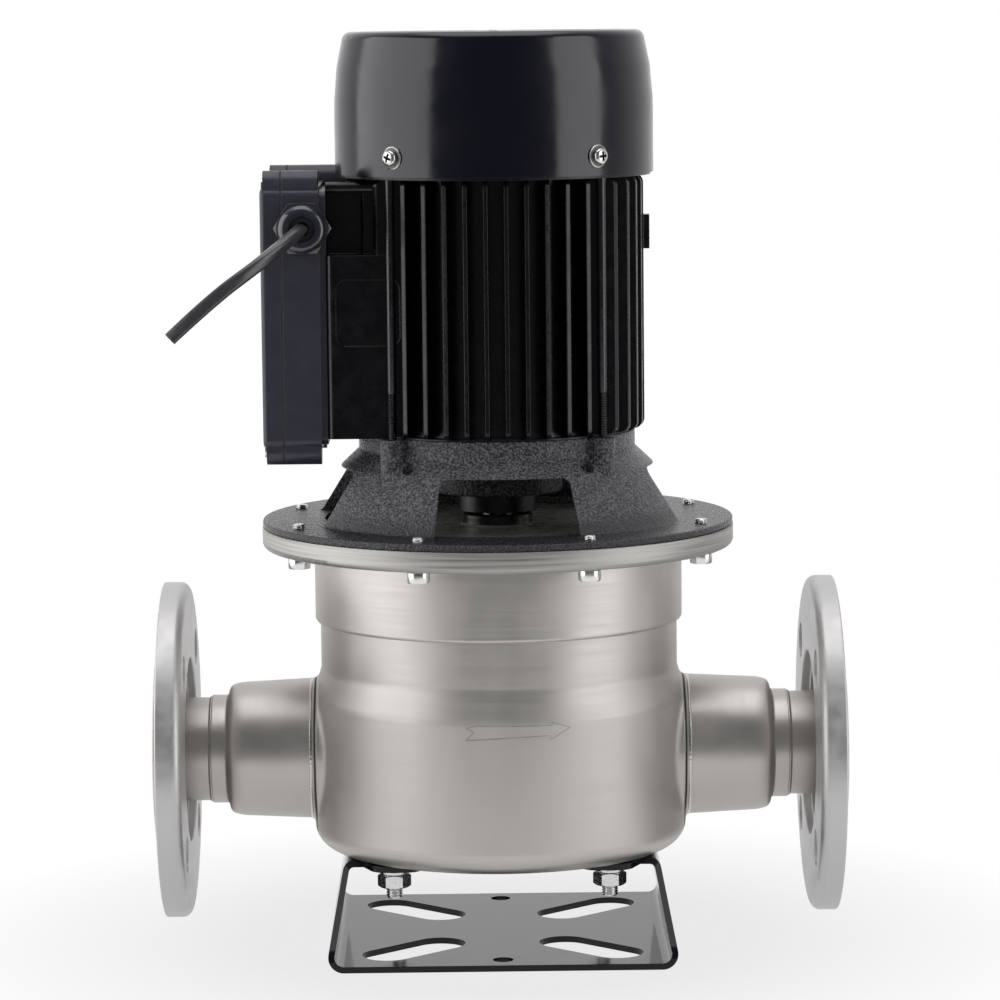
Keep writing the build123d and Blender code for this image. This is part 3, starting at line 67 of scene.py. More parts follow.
# The lead is a short stiff stub of three-core cable in a black rubber sheath. The gland
# on the terminal box clamps it, and its free end is cut off square. The three cores show
# through the sheath as soft ridges that wind slowly round it.
LEAD_WIDTH = 0.007
LEAD_ROUTE = (
    (-0.0917, -0.0475, 0.3538),
    (-0.0917, -0.0660, 0.3538),
    (-0.0988, -0.0840, 0.3485),
    (-0.1116, -0.0965, 0.3391),
    (-0.1320, -0.1025, 0.3241),
    (-0.1513, -0.1055, 0.3058),
)
LEAD_LINE_STEPS = 16
LEAD_SIDES = 36
LEAD_RIDGE = 0.10
TURN_PER_METRE = 20
CORE_SIDES = 16
CORE_CIRCLE = 0.00155
CORE_RADIUS = 0.00125
CORE_PROUD = 0.00004
STRANDS_RADIUS = 0.00062
STRANDS_PROUD = 0.00008
CUT_DEPTH = 0.002
CROWN_RADIUS = 0.8
CROWN_RISE = 1.4
CORE_COLOURS = {
    "brown": (0.13, 0.05, 0.02),
    "blue": (0.02, 0.09, 0.30),
    "green": (0.16, 0.34, 0.04),
}
SHARP_EDGE = 38


def show(name, mesh):
    """Puts a mesh into the scene as a piece of that name, smooth but for its sharp edges."""
    tidy = bmesh.new()
    tidy.from_mesh(mesh)
    bmesh.ops.recalc_face_normals(tidy, faces=tidy.faces)
    tidy.to_mesh(mesh)
    tidy.free()
    for face in mesh.polygons:
        face.use_smooth = True
    mesh.set_sharp_from_angle(angle=math.radians(SHARP_EDGE))
    mesh.name = name
    piece = bpy.data.objects.new(name, mesh)
    bpy.context.scene.collection.objects.link(piece)
    return piece


def skin(rings, looped=False):
    """A mesh stretched over rings of points. Its ends are capped, or joined if looped."""
    count = len(rings[0])
    rows = len(rings) if looped else len(rings) - 1
    points = [tuple(point) for ring in rings for point in ring]
    faces = []
    for row in range(rows):
        low = row * count
        high = (row + 1) % len(rings) * count
        for at in range(count):
            beside = (at + 1) % count
            faces.append((low + at, low + beside, high + beside, high + at))
    if not looped:
        faces.append(tuple(range(count)))
        faces.append(tuple(len(points) - 1 - at for at in range(count)))
    mesh = bpy.data.meshes.new("skin")
    mesh.from_pydata(points, [], faces)
    return mesh


def spoke(centre, side, across, angle, reach):
    """The point at that angle and reach from a centre, turning from side towards across."""
    return centre + (side * math.cos(angle) + across * math.sin(angle)) * reach


def shader_of(made):
    """The one shader that every finish has."""
    return made.node_tree.nodes["Principled BSDF"]


def finish(name, colour, roughness, metallic=0.0):
    """A new finish with its plain colour, roughness and metal share set."""
    made = bpy.data.materials.new(name)
    made.use_nodes = True
    shader_of(made).inputs["Base Color"].default_value = (*colour, 1)
    shader_of(made).inputs["Roughness"].default_value = roughness
    shader_of(made).inputs["Metallic"].default_value = metallic
    return made


def node(made, kind, feeds=None, out=0, **settings):
    """Adds a node to a finish, feeds its sockets by name or number, and returns an output."""
    added = made.node_tree.nodes.new("ShaderNode" + kind)
    for name, value in settings.items():
        setattr(added, name, value)
    for socket, value in (feeds or {}).items():
        if isinstance(value, bpy.types.NodeSocket):
            made.node_tree.links.new(value, added.inputs[socket])
        else:
            added.inputs[socket].default_value = value
    return added.outputs[out]


def grain(made, size, squash=(1, 1, 1), detail=2.0):
    """Noise with grains that many millimetres across, drawn out along an axis by squash."""
    place = node(made, "TexCoord", out="Object")
    scale = [share * 1000 / size for share in squash]
    place = node(made, "VectorMath", {0: place, 1: scale}, operation="MULTIPLY")
    return node(made, "TexNoise", {"Vector": place, "Scale": 1.0, "Detail": detail})


def spread(made, value, low, high, start=0.35, end=0.65):
    """Maps a value to the range from low to high. Start and end suit a noise."""
    feeds = {0: value, 1: start, 2: end, 3: low, 4: high}
    return node(made, "MapRange", feeds)


def feed(made, socket, value):
    """Lets a node's output drive a socket of the shader."""
    made.node_tree.links.new(value, shader_of(made).inputs[socket])


def emboss(made, height, depth):
    """Raises the surface by a height map, depth millimetres at most, over what is there."""
    normal = shader_of(made).inputs["Normal"]
    feeds = {"Height": height, "Distance": depth / 1000, "Strength": 1.0}
    if normal.is_linked:
        feeds["Normal"] = normal.links[0].from_socket
    feed(made, "Normal", node(made, "Bump", feeds))


def vary_gloss(made, size, low, high):
    """Lets the roughness wander from low to high, in patches that many millimetres across."""
    feed(made, "Roughness", spread(made, grain(made, size), low, high))


def mirror(made, level):
    """Sets how much a paint or plastic mirrors."""
    shader_of(made).inputs["Specular IOR Level"].default_value = level


def dress(piece, made):
    """Gives a new piece or a named CAD node its finish."""
    if isinstance(piece, str):
        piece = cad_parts[piece]
    if piece.material_slots:
        for place in piece.material_slots:
            place.material = made
    else:
        piece.data.materials.append(made)


sheath = finish("lead_sheath", (0.042, 0.042, 0.048), 0.34)
emboss(sheath, grain(sheath, 0.5), 0.03)
vary_gloss(sheath, 3.0, 0.22, 0.34)
mirror(sheath, 0.8)

lead_line = bpy.data.curves.new("lead_line", "CURVE")
lead_line.dimensions = "3D"
lead_line.resolution_u = LEAD_LINE_STEPS
run = lead_line.splines.new("NURBS")
run.points.add(len(LEAD_ROUTE) - 1)
for knot, place in zip(run.points, LEAD_ROUTE):
    knot.co = (*place, 1)
run.order_u = 3
run.use_endpoint_u = True
lead_guide = bpy.data.objects.new("lead_guide", lead_line)
bpy.context.scene.collection.objects.link(lead_guide)
bpy.context.view_layer.update()
line_mesh = bpy.data.meshes.new_from_object(lead_guide)
line = [corner.co.copy() for corner in line_mesh.vertices]
bpy.data.objects.remove(lead_guide)

side = Vector((1, 0, 0))
travelled = 0.0
lead_rings = []
for at, point in enumerate(line):
    before = line[max(at - 1, 0)]
    after = line[min(at + 1, len(line) - 1)]
    along = (after - before).normalized()
    side = (side - along * side.dot(along)).normalized()
    across = along.cross(side)
    travelled += (point - before).length
    ring = []
    for step in range(LEAD_SIDES):
        angle = math.radians(step * 360 / LEAD_SIDES)
        ridge = math.cos(len(CORE_COLOURS) * (angle - TURN_PER_METRE * travelled))
        reach = LEAD_WIDTH / 2 * (1 - LEAD_RIDGE + LEAD_RIDGE * ridge)
        ring.append(spoke(point, side, across, angle, reach))
    lead_rings.append(ring)
lead = show("lead", skin(lead_rings))
dress(lead, sheath)
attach(lead, "pump")
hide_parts("cable")

for number, (colour, shade) in enumerate(CORE_COLOURS.items()):
    angle = TURN_PER_METRE * travelled + number * 2 * math.pi / len(CORE_COLOURS)
    centre = spoke(line[-1], side, across, angle, CORE_CIRCLE)
    for part, radius, proud in (
        ("core", CORE_RADIUS, CORE_PROUD),
        ("strands", STRANDS_RADIUS, STRANDS_PROUD),
    ):
        rings = []
        crown = (radius * CROWN_RADIUS, proud * CROWN_RISE)
        for reach, out in ((radius, -CUT_DEPTH), (radius, proud), crown):
            ring = []
            for step in range(CORE_SIDES):
                angle = math.radians(step * 360 / CORE_SIDES)
                ring.append(spoke(centre, side, across, angle, reach) + along * out)
            rings.append(ring)
        end = show(f"lead_{part}_{colour}", skin(rings))
        if part == "core":
            insulation = finish(f"insulation_{colour}", shade, 0.4)
            emboss(insulation, grain(insulation, 0.4), 0.02)
            dress(end, insulation)
        else:
            strands = finish(f"strands_{colour}", (0.80, 0.38, 0.20), 0.3, 1.0)
            emboss(strands, grain(strands, 0.25, detail=0.0), 0.05)
            dress(end, strands)
        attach(end, "pump")


# The studio: a pale round table, white all round, two tall soft lamps in front on the
# left and right, one above, and a grey cloth round the set, dark in front and light
# behind, that only shows in the metal.
WHITE = (1, 1, 1, 1)
TABLE_RINGS = (0.05, 0.2, 0.4, 0.62)
TABLE_STEPS = 96
TABLE_HEIGHT = -0.0002
GLOW_START = 0.12
GLOW_END = 0.30
CLOTH_RADIUS = 1.9
CLOTH_HEIGHTS = (-1.2, 0.0, 3.4)
CLOTH_STEPS = 64
CLOTH_FRONT = 0.09
CLOTH_SIDE = 0.30
CLOTH_BACK = 0.95
ROOM_LIGHT = 0.45


def polar(reach, angle, height):
    """The point at that reach and angle from the upright axis, at that height."""
    return (reach * math.cos(angle), reach * math.sin(angle), height)


def circle(radius, height, steps=48):
    """A level ring of points round the upright axis."""
    return [polar(radius, 2 * math.pi * at / steps, height) for at in range(steps)]


def seen_share(made):
    """1 for the camera, for mirrored light and for light through glass, and 0 for the rest."""
    seen = node(made, "LightPath", out="Is Camera Ray")
    for ray in ("Is Glossy Ray", "Is Transmission Ray"):
        other = node(made, "LightPath", out=ray)
        seen = node(made, "Math", {0: seen, 1: other}, operation="MAXIMUM")
    return seen


def place_along(made, axis):
    """How far each point of the surface lies along an axis of the frame, in metres."""
    place = node(made, "TexCoord", out="Object")
    return node(made, "SeparateXYZ", {0: place}, out="XYZ".index(axis))


table = show("table", skin([circle(reach, TABLE_HEIGHT, TABLE_STEPS) for reach in TABLE_RINGS]))
paper = finish("table_paper", (0.86, 0.86, 0.86), 0.9)
distance = node(paper, "TexCoord", out="Object")
distance = node(paper, "VectorMath", {0: distance}, out=1, operation="LENGTH")
glow_share = spread(paper, distance, 0.80, 1.0, start=GLOW_START, end=GLOW_END)
glow_share = node(paper, "Math", {0: glow_share, 1: seen_share(paper)}, operation="MULTIPLY")
glow = node(paper, "Emission", {"Color": WHITE, "Strength": 1.0})
paper_mix = node(paper, "MixShader", {0: glow_share, 1: shader_of(paper).outputs[0], 2: glow})
paper_out = paper.node_tree.nodes["Material Output"]
paper.node_tree.links.new(paper_mix, paper_out.inputs["Surface"])
dress(table, paper)

cloth_mesh = skin([circle(CLOTH_RADIUS, height, CLOTH_STEPS) for height in CLOTH_HEIGHTS])
open_ends = bmesh.new()
open_ends.from_mesh(cloth_mesh)
caps = [face for face in open_ends.faces if len(face.verts) > 4]
bmesh.ops.delete(open_ends, geom=caps, context="FACES_ONLY")
open_ends.to_mesh(cloth_mesh)
open_ends.free()
cloth = show("grey_cloth", cloth_mesh)
grey = finish("grey_cloth", (0.2, 0.2, 0.2), 1.0)
behind = place_along(grey, "Y")
front_half = spread(grey, behind, CLOTH_FRONT, CLOTH_SIDE, start=-CLOTH_RADIUS, end=0.0)
back_half = spread(grey, behind, 0.0, CLOTH_BACK - CLOTH_SIDE, start=0.0, end=CLOTH_RADIUS)
shade = node(grey, "Math", {0: front_half, 1: back_half}, operation="ADD")
grey_glow = node(grey, "Emission", {"Color": WHITE, "Strength": shade})
grey_out = grey.node_tree.nodes["Material Output"]
grey.node_tree.links.new(grey_glow, grey_out.inputs["Surface"])
dress(cloth, grey)
cloth.visible_camera = False
cloth.visible_diffuse = False
cloth.visible_shadow = False


def lamp(name, radiance, width, height, place, aim):
    """A flat soft lamp of that size, which shines with that radiance towards aim."""
    light = bpy.data.lights.new(name, "AREA")
    light.shape = "RECTANGLE"
    light.size = width
    light.size_y = height
    light.energy = radiance * math.pi * width * height
    standing = bpy.data.objects.new(name, light)
    bpy.context.scene.collection.objects.link(standing)
    standing.location = place
    standing.rotation_euler = (Vector(aim) - Vector(place)).to_track_quat("-Z", "Y").to_euler()
    standing.visible_camera = False


lamp("lamp_left", radiance=1.8, width=1.75, height=1.7, place=(-1.28, -0.23, 0.45), aim=(0, 0, 0.30))
lamp("lamp_right", radiance=1.8, width=0.88, height=1.7, place=(1.16, -0.59, 0.45), aim=(0, 0, 0.30))
lamp("lamp_above", radiance=1.0, width=1.3, height=1.3, place=(0, -0.1, 1.75), aim=(0, 0, 0.2))

room = bpy.data.worlds.new("room")
bpy.context.scene.world = room
room.use_nodes = True
white = node(room, "Background", {"Color": WHITE, "Strength": 1.0})
soft = node(room, "Background", {"Color": WHITE, "Strength": ROOM_LIGHT})
room_mix = node(room, "MixShader", {0: seen_share(room), 1: soft, 2: white})
room_out = room.node_tree.nodes["World Output"]
room.node_tree.links.new(room_mix, room_out.inputs["Surface"])


# The foot is one steel sheet, punched and bent into a floor plate, two leaning walls and
# two tabs, then painted gloss black.
foot_paint = finish("foot_paint", (0.006, 0.006, 0.010), 0.08)


def round_edges(made, radius):
    """Catches the light on the edges as if they were rounded by that many millimetres."""
    feed(made, "Normal", node(made, "Bevel", {"Radius": radius / 1000}, samples=4))


round_edges(foot_paint, 0.5)
emboss(foot_paint, grain(foot_paint, 2.2), 0.012)
vary_gloss(foot_paint, 9.0, 0.06, 0.12)
mirror(foot_paint, 0.28)
dress("foot_bracket", foot_paint)


# Four steel studs are welded under the casing. Each goes down through a tab of the foot
# and takes a split spring washer and a hexagon nut, all zinc plated.
STUD_PLACE = 0.052
STUD_RADIUS = 0.004
STUD_PITCH = 0.00125
STUD_LOW = 0.0305
STUD_HIGH = 0.0475
THREAD_DEPTH = 0.58
THREAD_ROWS = 6
THREAD_CHAMFER = 0.55
THREAD_FLANK = 1.25
NUT_FLATS = 0.014
NUT_LOW = 0.0358
NUT_HIGH = 0.0423
NUT_FACE = 0.475
NUT_BORE_CHAMFER = 0.0006
NUT_CORNER_SLOPE = 0.55
NUT_STEPS = 72
WASHER_BORE = 0.0041
WASHER_RADIUS = 0.00675
WASHER_HIGH = 0.0445
WASHER_GAP = 0.0001
WASHER_EDGE = 0.0003
WASHER_SLIT = 5
WASHER_TWIST = 0.0002
WASHER_STEPS = 60


def blend_colours(made, share, one, other):
    """Mixes two colours, sockets 6 and 7, by a share. The first may be a mix itself."""
    if not isinstance(one, bpy.types.NodeSocket):
        one = (*one, 1)
    feeds = {0: share, 6: one, 7: (*other, 1)}
    return node(made, "Mix", feeds, out=2, data_type="RGBA")


def vary_colour(made, share, one, other):
    """Lets the colour wander between two shades, by a share such as a noise."""
    feed(made, "Base Color", blend_colours(made, share, one, other))


zinc = finish("zinc_plate", (0.74, 0.75, 0.77), 0.30, 1.0)
round_edges(zinc, 0.25)
emboss(zinc, grain(zinc, 1.5, detail=0.0), 0.006)
vary_gloss(zinc, 1.6, 0.22, 0.32)
vary_colour(zinc, grain(zinc, 2.5), (0.70, 0.695, 0.69), (0.79, 0.79, 0.79))


def thread(radius, pitch, low, high, steps=24):
    """A rod with a cut screw thread, chamfered at both ends."""
    depth = THREAD_DEPTH * pitch
    rows = round((high - low) / pitch * THREAD_ROWS)
    rings = []
    for row in range(rows + 1):
        height = low + (high - low) * row / rows
        from_end = min(height - low, high - height)
        limit = radius - max(0.0, THREAD_CHAMFER * pitch - from_end)
        ring = []
        for at in range(steps):
            phase = (height / pitch - at / steps) % 1.0
            groove_painted_shade = depth * (1 - min(1.0, abs(2 * phase - 1) * THREAD_FLANK))
            reach = min(limit, radius - groove_painted_shade)
            ring.append(polar(reach, 2 * math.pi * at / steps, height))
        rings.append(ring)
    return skin(rings)


def hexagon_reach(flats, angle):
    """How far a hexagon of that width over flats reaches at an angle."""
    return flats / 2 / math.cos(angle % (math.pi / 3) - math.pi / 6)


def nut(flats, bore, low, high):
    """A hexagon nut with its corners turned off at both ends."""
    steps = NUT_STEPS
    wide_bore = bore + NUT_BORE_CHAMFER
    face_circle = flats * NUT_FACE
    rings = [circle(bore, low + NUT_BORE_CHAMFER, steps), circle(wide_bore, low, steps)]
    rings.append(circle(face_circle, low, steps))
    for end, into in ((low, 1), (high, -1)):
        ring = []
        for at in range(steps):
            angle = 2 * math.pi * at / steps
            reach = hexagon_reach(flats, angle)
            drop = (reach - face_circle) * NUT_CORNER_SLOPE
            ring.append(polar(reach, angle, end + into * drop))
        rings.append(ring)
    rings.append(circle(face_circle, high, steps))
    rings += [circle(wide_bore, high, steps), circle(bore, high - NUT_BORE_CHAMFER, steps)]
    return skin(rings, looped=True)


def gathered(name, meshes, places):
    """One piece made of the same meshes at several places."""
    work = bmesh.new()
    for place in places:
        for mesh in meshes:
            twin = mesh.copy()
            twin.transform(place)
            work.from_mesh(twin)
            bpy.data.meshes.remove(twin)
    joined = bpy.data.meshes.new(name)
    work.to_mesh(joined)
    work.free()
    return show(name, joined)


def settle(piece, made, node_name):
    """Dresses a piece of the still part of the pump, and has it stand for a CAD node, if any."""
    dress(piece, made)
    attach(piece, "pump")
    if node_name:
        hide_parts(node_name)


stud_places = []
for across in (-1, 1):
    for along in (-1, 1):
        stud_places.append(Matrix.Translation((across * STUD_PLACE, along * STUD_PLACE, 0)))
stud = thread(STUD_RADIUS, STUD_PITCH, STUD_LOW, STUD_HIGH)
settle(gathered("foot_stud_threads", [stud], stud_places), zinc, "foot_studs")
hex_nut = nut(NUT_FLATS, STUD_RADIUS, NUT_LOW, NUT_HIGH)
settle(gathered("foot_hex_nuts", [hex_nut], stud_places), zinc, "foot_nuts")

washer_section = (
    (WASHER_BORE, NUT_HIGH + WASHER_GAP),
    (WASHER_RADIUS - WASHER_GAP, NUT_HIGH + WASHER_GAP),
    (WASHER_RADIUS, NUT_HIGH + WASHER_EDGE),
    (WASHER_RADIUS, WASHER_HIGH - WASHER_EDGE),
    (WASHER_RADIUS - WASHER_GAP, WASHER_HIGH - WASHER_GAP),
    (WASHER_BORE, WASHER_HIGH - WASHER_GAP),
)
washer_rings = []
for step in range(WASHER_STEPS + 1):
    angle = math.radians(WASHER_SLIT + (360 - 2 * WASHER_SLIT) * step / WASHER_STEPS)
    rise = WASHER_TWIST * (step / WASHER_STEPS - 0.5)
    washer_rings.append([polar(reach, angle, height + rise) for reach, height in washer_section])
split_washer = skin(washer_rings)
split_washers = gathered("foot_spring_washers", [split_washer], stud_places)
settle(split_washers, zinc, "foot_lock_washers")


# The casing is a deep-drawn stainless cup. Its body is left satin from the press, and
# the shoulder and the two bands above it are brushed round on a lathe. A narrow groove
# runs round each port collar, just inside the weld, with painted shade darkening its line.
PIPE_HEIGHT = 0.095
SATIN_BELOW = 0.118
BRUSHED_ABOVE = 0.132
GROOVE_X = 0.0903
GROOVE_CORE = 0.00025
GROOVE_EDGE = 0.0006
GROOVE_SLOPE = 0.0008
BRUSH_DRAW = 0.02


def brushed(made, axis, coarse, depth):
    """Fine brush lines that run round an axis, as a noise that is raised a little."""
    thin = [BRUSH_DRAW, BRUSH_DRAW, BRUSH_DRAW]
    thin["XYZ".index(axis)] = 1.0
    lines = grain(made, coarse, thin, detail=3.0)
    emboss(made, lines, depth)
    return lines


steel = finish("casing_steel", (0.57, 0.54, 0.515), 0.27, 0.80)
round_edges(steel, 0.6)
lines = brushed(steel, "Z", 1.1, 0.012)
cloud = grain(steel, 22.0, (1, 1, 0.4))
emboss(steel, grain(steel, 34.0, (1, 1, 0.6), detail=1.0), 0.5)
uneven = node(steel, "Math", {0: lines, 1: cloud}, operation="ADD")
height_up = place_along(steel, "Z")
satin_share = spread(steel, height_up, 0.06, 0.0, start=SATIN_BELOW, end=BRUSHED_ABOVE)
gloss = spread(steel, uneven, 0.36, 0.46, start=0.75, end=1.25)
feed(steel, "Roughness", node(steel, "Math", {0: gloss, 1: satin_share}, operation="ADD"))
sideways = node(steel, "Math", {0: place_along(steel, "X")}, operation="ABSOLUTE")
off_groove = node(steel, "Math", {0: sideways, 1: GROOVE_X}, operation="SUBTRACT")
off_groove = node(steel, "Math", {0: off_groove}, operation="ABSOLUTE")
# The groove's line is coloured near black: painted shade in the groove.
groove_painted_shade = spread(steel, off_groove, 1.0, 0.0, start=GROOVE_CORE, end=GROOVE_EDGE)
emboss(steel, spread(steel, off_groove, 0.0, 1.0, start=0.0, end=GROOVE_SLOPE), 0.5)
satin = blend_colours(steel, cloud, (0.54, 0.515, 0.49), (0.61, 0.582, 0.556))
vary_colour(steel, groove_painted_shade, satin, (0.05, 0.047, 0.045))
shader_of(steel).inputs["Anisotropic"].default_value = 0.45
feed(steel, "Tangent", node(steel, "Tangent", direction_type="RADIAL", axis="Z"))
dress("casing", steel)


# The flow arrow is etched faintly into the front of the casing, as an open outline that
# points to the outlet. Its line is worn, so parts of it nearly vanish. The points are given
# in millimetres.
CASING_RADIUS = 0.0915
ARROW_LIFT = 0.00005
ARROW_LINE = 0.00050
ARROW_STEP = 3
ARROW_POINTS = (
    (-16.7, 119.4),
    (-12.9, 117.6),
    (-16.7, 113.6),
    (0.0, 114.6),
    (23.0, 115.4),
    (23.4, 113.4),
    (32.8, 118.7),
    (24.0, 121.6),
    (24.0, 120.2),
    (0.0, 120.5),
    (-11.9, 120.6),
    (-16.7, 119.4),
)


def on_casing(across, height):
    """The point just proud of the casing's front at that height, that far to the right."""
    radius = CASING_RADIUS + ARROW_LIFT
    return (across, -math.sqrt(radius * radius - across * across), height)


arrow_points = []
arrow_faces = []
for (x0, z0), (x1, z1) in zip(ARROW_POINTS, ARROW_POINTS[1:]):
    length = math.hypot(x1 - x0, z1 - z0)
    aside = (-(z1 - z0) / length * ARROW_LINE / 2, (x1 - x0) / length * ARROW_LINE / 2)
    steps = max(2, round(length / ARROW_STEP))
    for step in range(steps + 1):
        x = (x0 + (x1 - x0) * step / steps) / 1000
        z = (z0 + (z1 - z0) * step / steps) / 1000
        first = len(arrow_points)
        arrow_points.append(on_casing(x + aside[0], z + aside[1]))
        arrow_points.append(on_casing(x - aside[0], z - aside[1]))
        if step:
            arrow_faces.append((first - 2, first - 1, first + 1, first))
arrow_mesh = bpy.data.meshes.new("arrow")
arrow_mesh.from_pydata(arrow_points, [], arrow_faces)
etched = finish("etched_steel", (0.40, 0.385, 0.37), 0.45, 0.85)
emboss(etched, grain(etched, 0.2), 0.02)
vary_gloss(etched, 2.0, 0.34, 0.5)
worn = grain(etched, 9.0, detail=1.0)
vary_colour(etched, worn, (0.26, 0.25, 0.24), (0.55, 0.525, 0.50))
settle(show("flow_arrow", arrow_mesh), etched, None)


# Each port is a pressed reducer, a straight neck and a collar, all stainless and welded
# in line. The reducer is welded to a short collar of the casing with a narrow bead.
ROOT_X = 0.0923
ROOT_RADIUS = 0.0342
ROOT_BEAD = 0.0009
LIP_X = 0.1415
LIP_RADIUS = 0.0254
LIP_BEAD = 0.0012
BEAD_STEPS = 540
BEAD_SIDES = 12
BEAD_DROPS = 90
BEAD_SWELL = 0.05
BEAD_RISE = 0.62

pipe_steel = finish("pipe_steel", (0.57, 0.54, 0.52), 0.28, 0.75)
round_edges(pipe_steel, 0.5)
lines = brushed(pipe_steel, "X", 0.25, 0.004)
cloud = grain(pipe_steel, 16.0)
emboss(pipe_steel, grain(pipe_steel, 26.0, detail=1.0), 0.5)
uneven = node(pipe_steel, "Math", {0: lines, 1: cloud}, operation="ADD")
feed(pipe_steel, "Roughness", spread(pipe_steel, uneven, 0.32, 0.44, start=0.75, end=1.25))
vary_colour(pipe_steel, cloud, (0.52, 0.495, 0.475), (0.62, 0.59, 0.57))
for port in ("inlet", "outlet"):
    for part in ("reducer", "neck", "collar"):
        dress(f"{port}_{part}", pipe_steel)

bead_steel = finish("weld_bead", (0.62, 0.60, 0.57), 0.24, 1.0)
emboss(bead_steel, grain(bead_steel, 0.6), 0.05)
vary_colour(bead_steel, grain(bead_steel, 4.0), (0.54, 0.51, 0.47), (0.68, 0.66, 0.64))


def bead(name, track, thickness):
    """A weld bead along a closed track of points, with a ripple for each drop of metal."""
    rings = []
    for at, point in enumerate(track):
        along = (track[(at + 1) % len(track)] - track[at - 1]).normalized()
        outward = Vector((0, point.y, point.z - PIPE_HEIGHT)).normalized()
        across = along.cross(outward).normalized()
        swell = 1 + BEAD_SWELL * math.cos(2 * math.pi * BEAD_DROPS * at / len(track))
        ring = []
        for step in range(BEAD_SIDES):
            angle = math.radians(step * 360 / BEAD_SIDES)
            arm = outward * math.cos(angle) * BEAD_RISE + across * math.sin(angle)
            ring.append(point + arm * thickness * swell)
        rings.append(ring)
    settle(show(name, skin(rings, looped=True)), bead_steel, None)


for port, sign in (("inlet", -1), ("outlet", 1)):
    for seam, x, reach, thickness in (
        ("root", ROOT_X, ROOT_RADIUS, ROOT_BEAD),
        ("lip", LIP_X, LIP_RADIUS, LIP_BEAD),
    ):
        track = []
        for step in range(BEAD_STEPS):
            angle = 2 * math.pi * step / BEAD_STEPS
            y = reach * math.cos(angle)
            z = PIPE_HEIGHT + reach * math.sin(angle)
            track.append(Vector((sign * x, y, z)))
        bead(f"{port}_{seam}_bead", track, thickness)


# A loose flange ring sits behind each collar and turns freely, so that its bolt holes
# can be lined up with the pipe. It is a thick steel ring, zinc plated after turning.
RING_MARKS_PER_METRE = 2600


def turned_marks(made, axis, centre, per_metre):
    """Tool marks that run round an axis through the centre, as a lathe leaves them."""
    where = node(made, "TexCoord", out="Object")
    where = node(made, "VectorMath", {0: where, 1: centre}, operation="SUBTRACT")
    off_axis = [1, 1, 1]
    off_axis["XYZ".index(axis)] = 0
    flat = node(made, "VectorMath", {0: where, 1: off_axis}, operation="MULTIPLY")
    radius = node(made, "VectorMath", {0: flat}, out=1, operation="LENGTH")
    along_axis = node(made, "SeparateXYZ", {0: where}, out="XYZ".index(axis))
    mark = node(made, "CombineXYZ", {0: radius, 1: along_axis, 2: 0.0})
    mark = node(made, "VectorMath", {0: mark, 1: (per_metre, per_metre, 1)}, operation="MULTIPLY")
    return node(made, "TexNoise", {"Vector": mark, "Scale": 1.0, "Detail": 2.0})


ring_zinc = finish("flange_zinc", (0.60, 0.595, 0.59), 0.30, 0.75)
round_edges(ring_zinc, 0.5)
emboss(ring_zinc, turned_marks(ring_zinc, "X", (0, 0, PIPE_HEIGHT), RING_MARKS_PER_METRE), 0.006)
blotch = grain(ring_zinc, 7.0, detail=4.0)
feed(ring_zinc, "Roughness", spread(ring_zinc, blotch, 0.38, 0.50))
vary_colour(ring_zinc, blotch, (0.57, 0.56, 0.56), (0.64, 0.63, 0.63))
dress("inlet_flange", ring_zinc)
dress("outlet_flange", ring_zinc)


# The mouth of the casing has a turned stainless flange with a groove for an O-ring, and
# a pressed stainless cover carries the seal seat in a cup. The cover is pale steel on its
# flat, and its cup is painted near black as painted shade, for the dark inside the lantern.
MARKS_PER_METRE = 2400
FLAT_TOP = 0.2063
CUP_START = 0.2068

rim_steel = finish("flange_steel", (0.50, 0.487, 0.47), 0.30, 0.85)
round_edges(rim_steel, 0.6)
lines = brushed(rim_steel, "Z", 1.4, 0.035)
feed(rim_steel, "Roughness", spread(rim_steel, lines, 0.42, 0.60))
streaks = spread(rim_steel, lines, 0.0, 1.0)
vary_colour(rim_steel, streaks, (0.33, 0.32, 0.307), (0.53, 0.516, 0.497))
dress("casing_flange", rim_steel)

cover_steel = finish("cover_steel", (0.22, 0.215, 0.20), 0.48, 0.5)
emboss(cover_steel, turned_marks(cover_steel, "Z", (0, 0, 0), MARKS_PER_METRE), 0.012)
# Above the flat, the cup is painted near black: painted shade for the dark inside the lantern.
cup_painted_shade = spread(cover_steel, place_along(cover_steel, "Z"), 0.0, 1.0, start=FLAT_TOP, end=CUP_START)
vary_colour(cover_steel, cup_painted_shade, (0.72, 0.70, 0.64), (0.04, 0.04, 0.04))
vary_gloss(cover_steel, 8.0, 0.24, 0.34)
dress("seal_cover", cover_steel)

black_rubber = finish("black_rubber", (0.018, 0.018, 0.019), 0.62)
emboss(black_rubber, grain(black_rubber, 0.4), 0.03)
vary_gloss(black_rubber, 2.0, 0.52, 0.72)
dress("cover_oring", black_rubber)


# Eight cap screws hold casing and lantern together. They go up through the flange into
# tapped holes, so the round heads hang below the flange and the ends stand above the plate.
LID_CIRCLE = 0.10475
LID_FIRST = 22.5
LID_TURN = 1.2
LID_STEP = 45
LID_TWIST = 11
LID_TWIST_STEP = 37
LID_RADIUS = 0.003
LID_PITCH = 0.001
LID_START = 0.1956
LID_END = 0.2115
LID_SOCKET = 0.005
LID_SOCKET_DEPTH = 0.003
LID_HEAD_RADIUS = 0.0054
LID_HEAD_LOW = 0.1899
LID_HEAD_HIGH = 0.1958
LID_HEAD_EDGE = (
    (0.0009, LID_HEAD_LOW),
    (0.0003, LID_HEAD_LOW + 0.0002),
    (0.0, LID_HEAD_LOW + 0.0008),
    (0.0, LID_HEAD_HIGH - 0.0008),
    (0.0006, LID_HEAD_HIGH - 0.0002),
    (0.0008, LID_HEAD_HIGH),
)

screw_steel = finish("screw_steel", (0.72, 0.72, 0.71), 0.17, 1.0)
emboss(screw_steel, grain(screw_steel, 0.5), 0.006)
vary_gloss(screw_steel, 1.5, 0.12, 0.26)


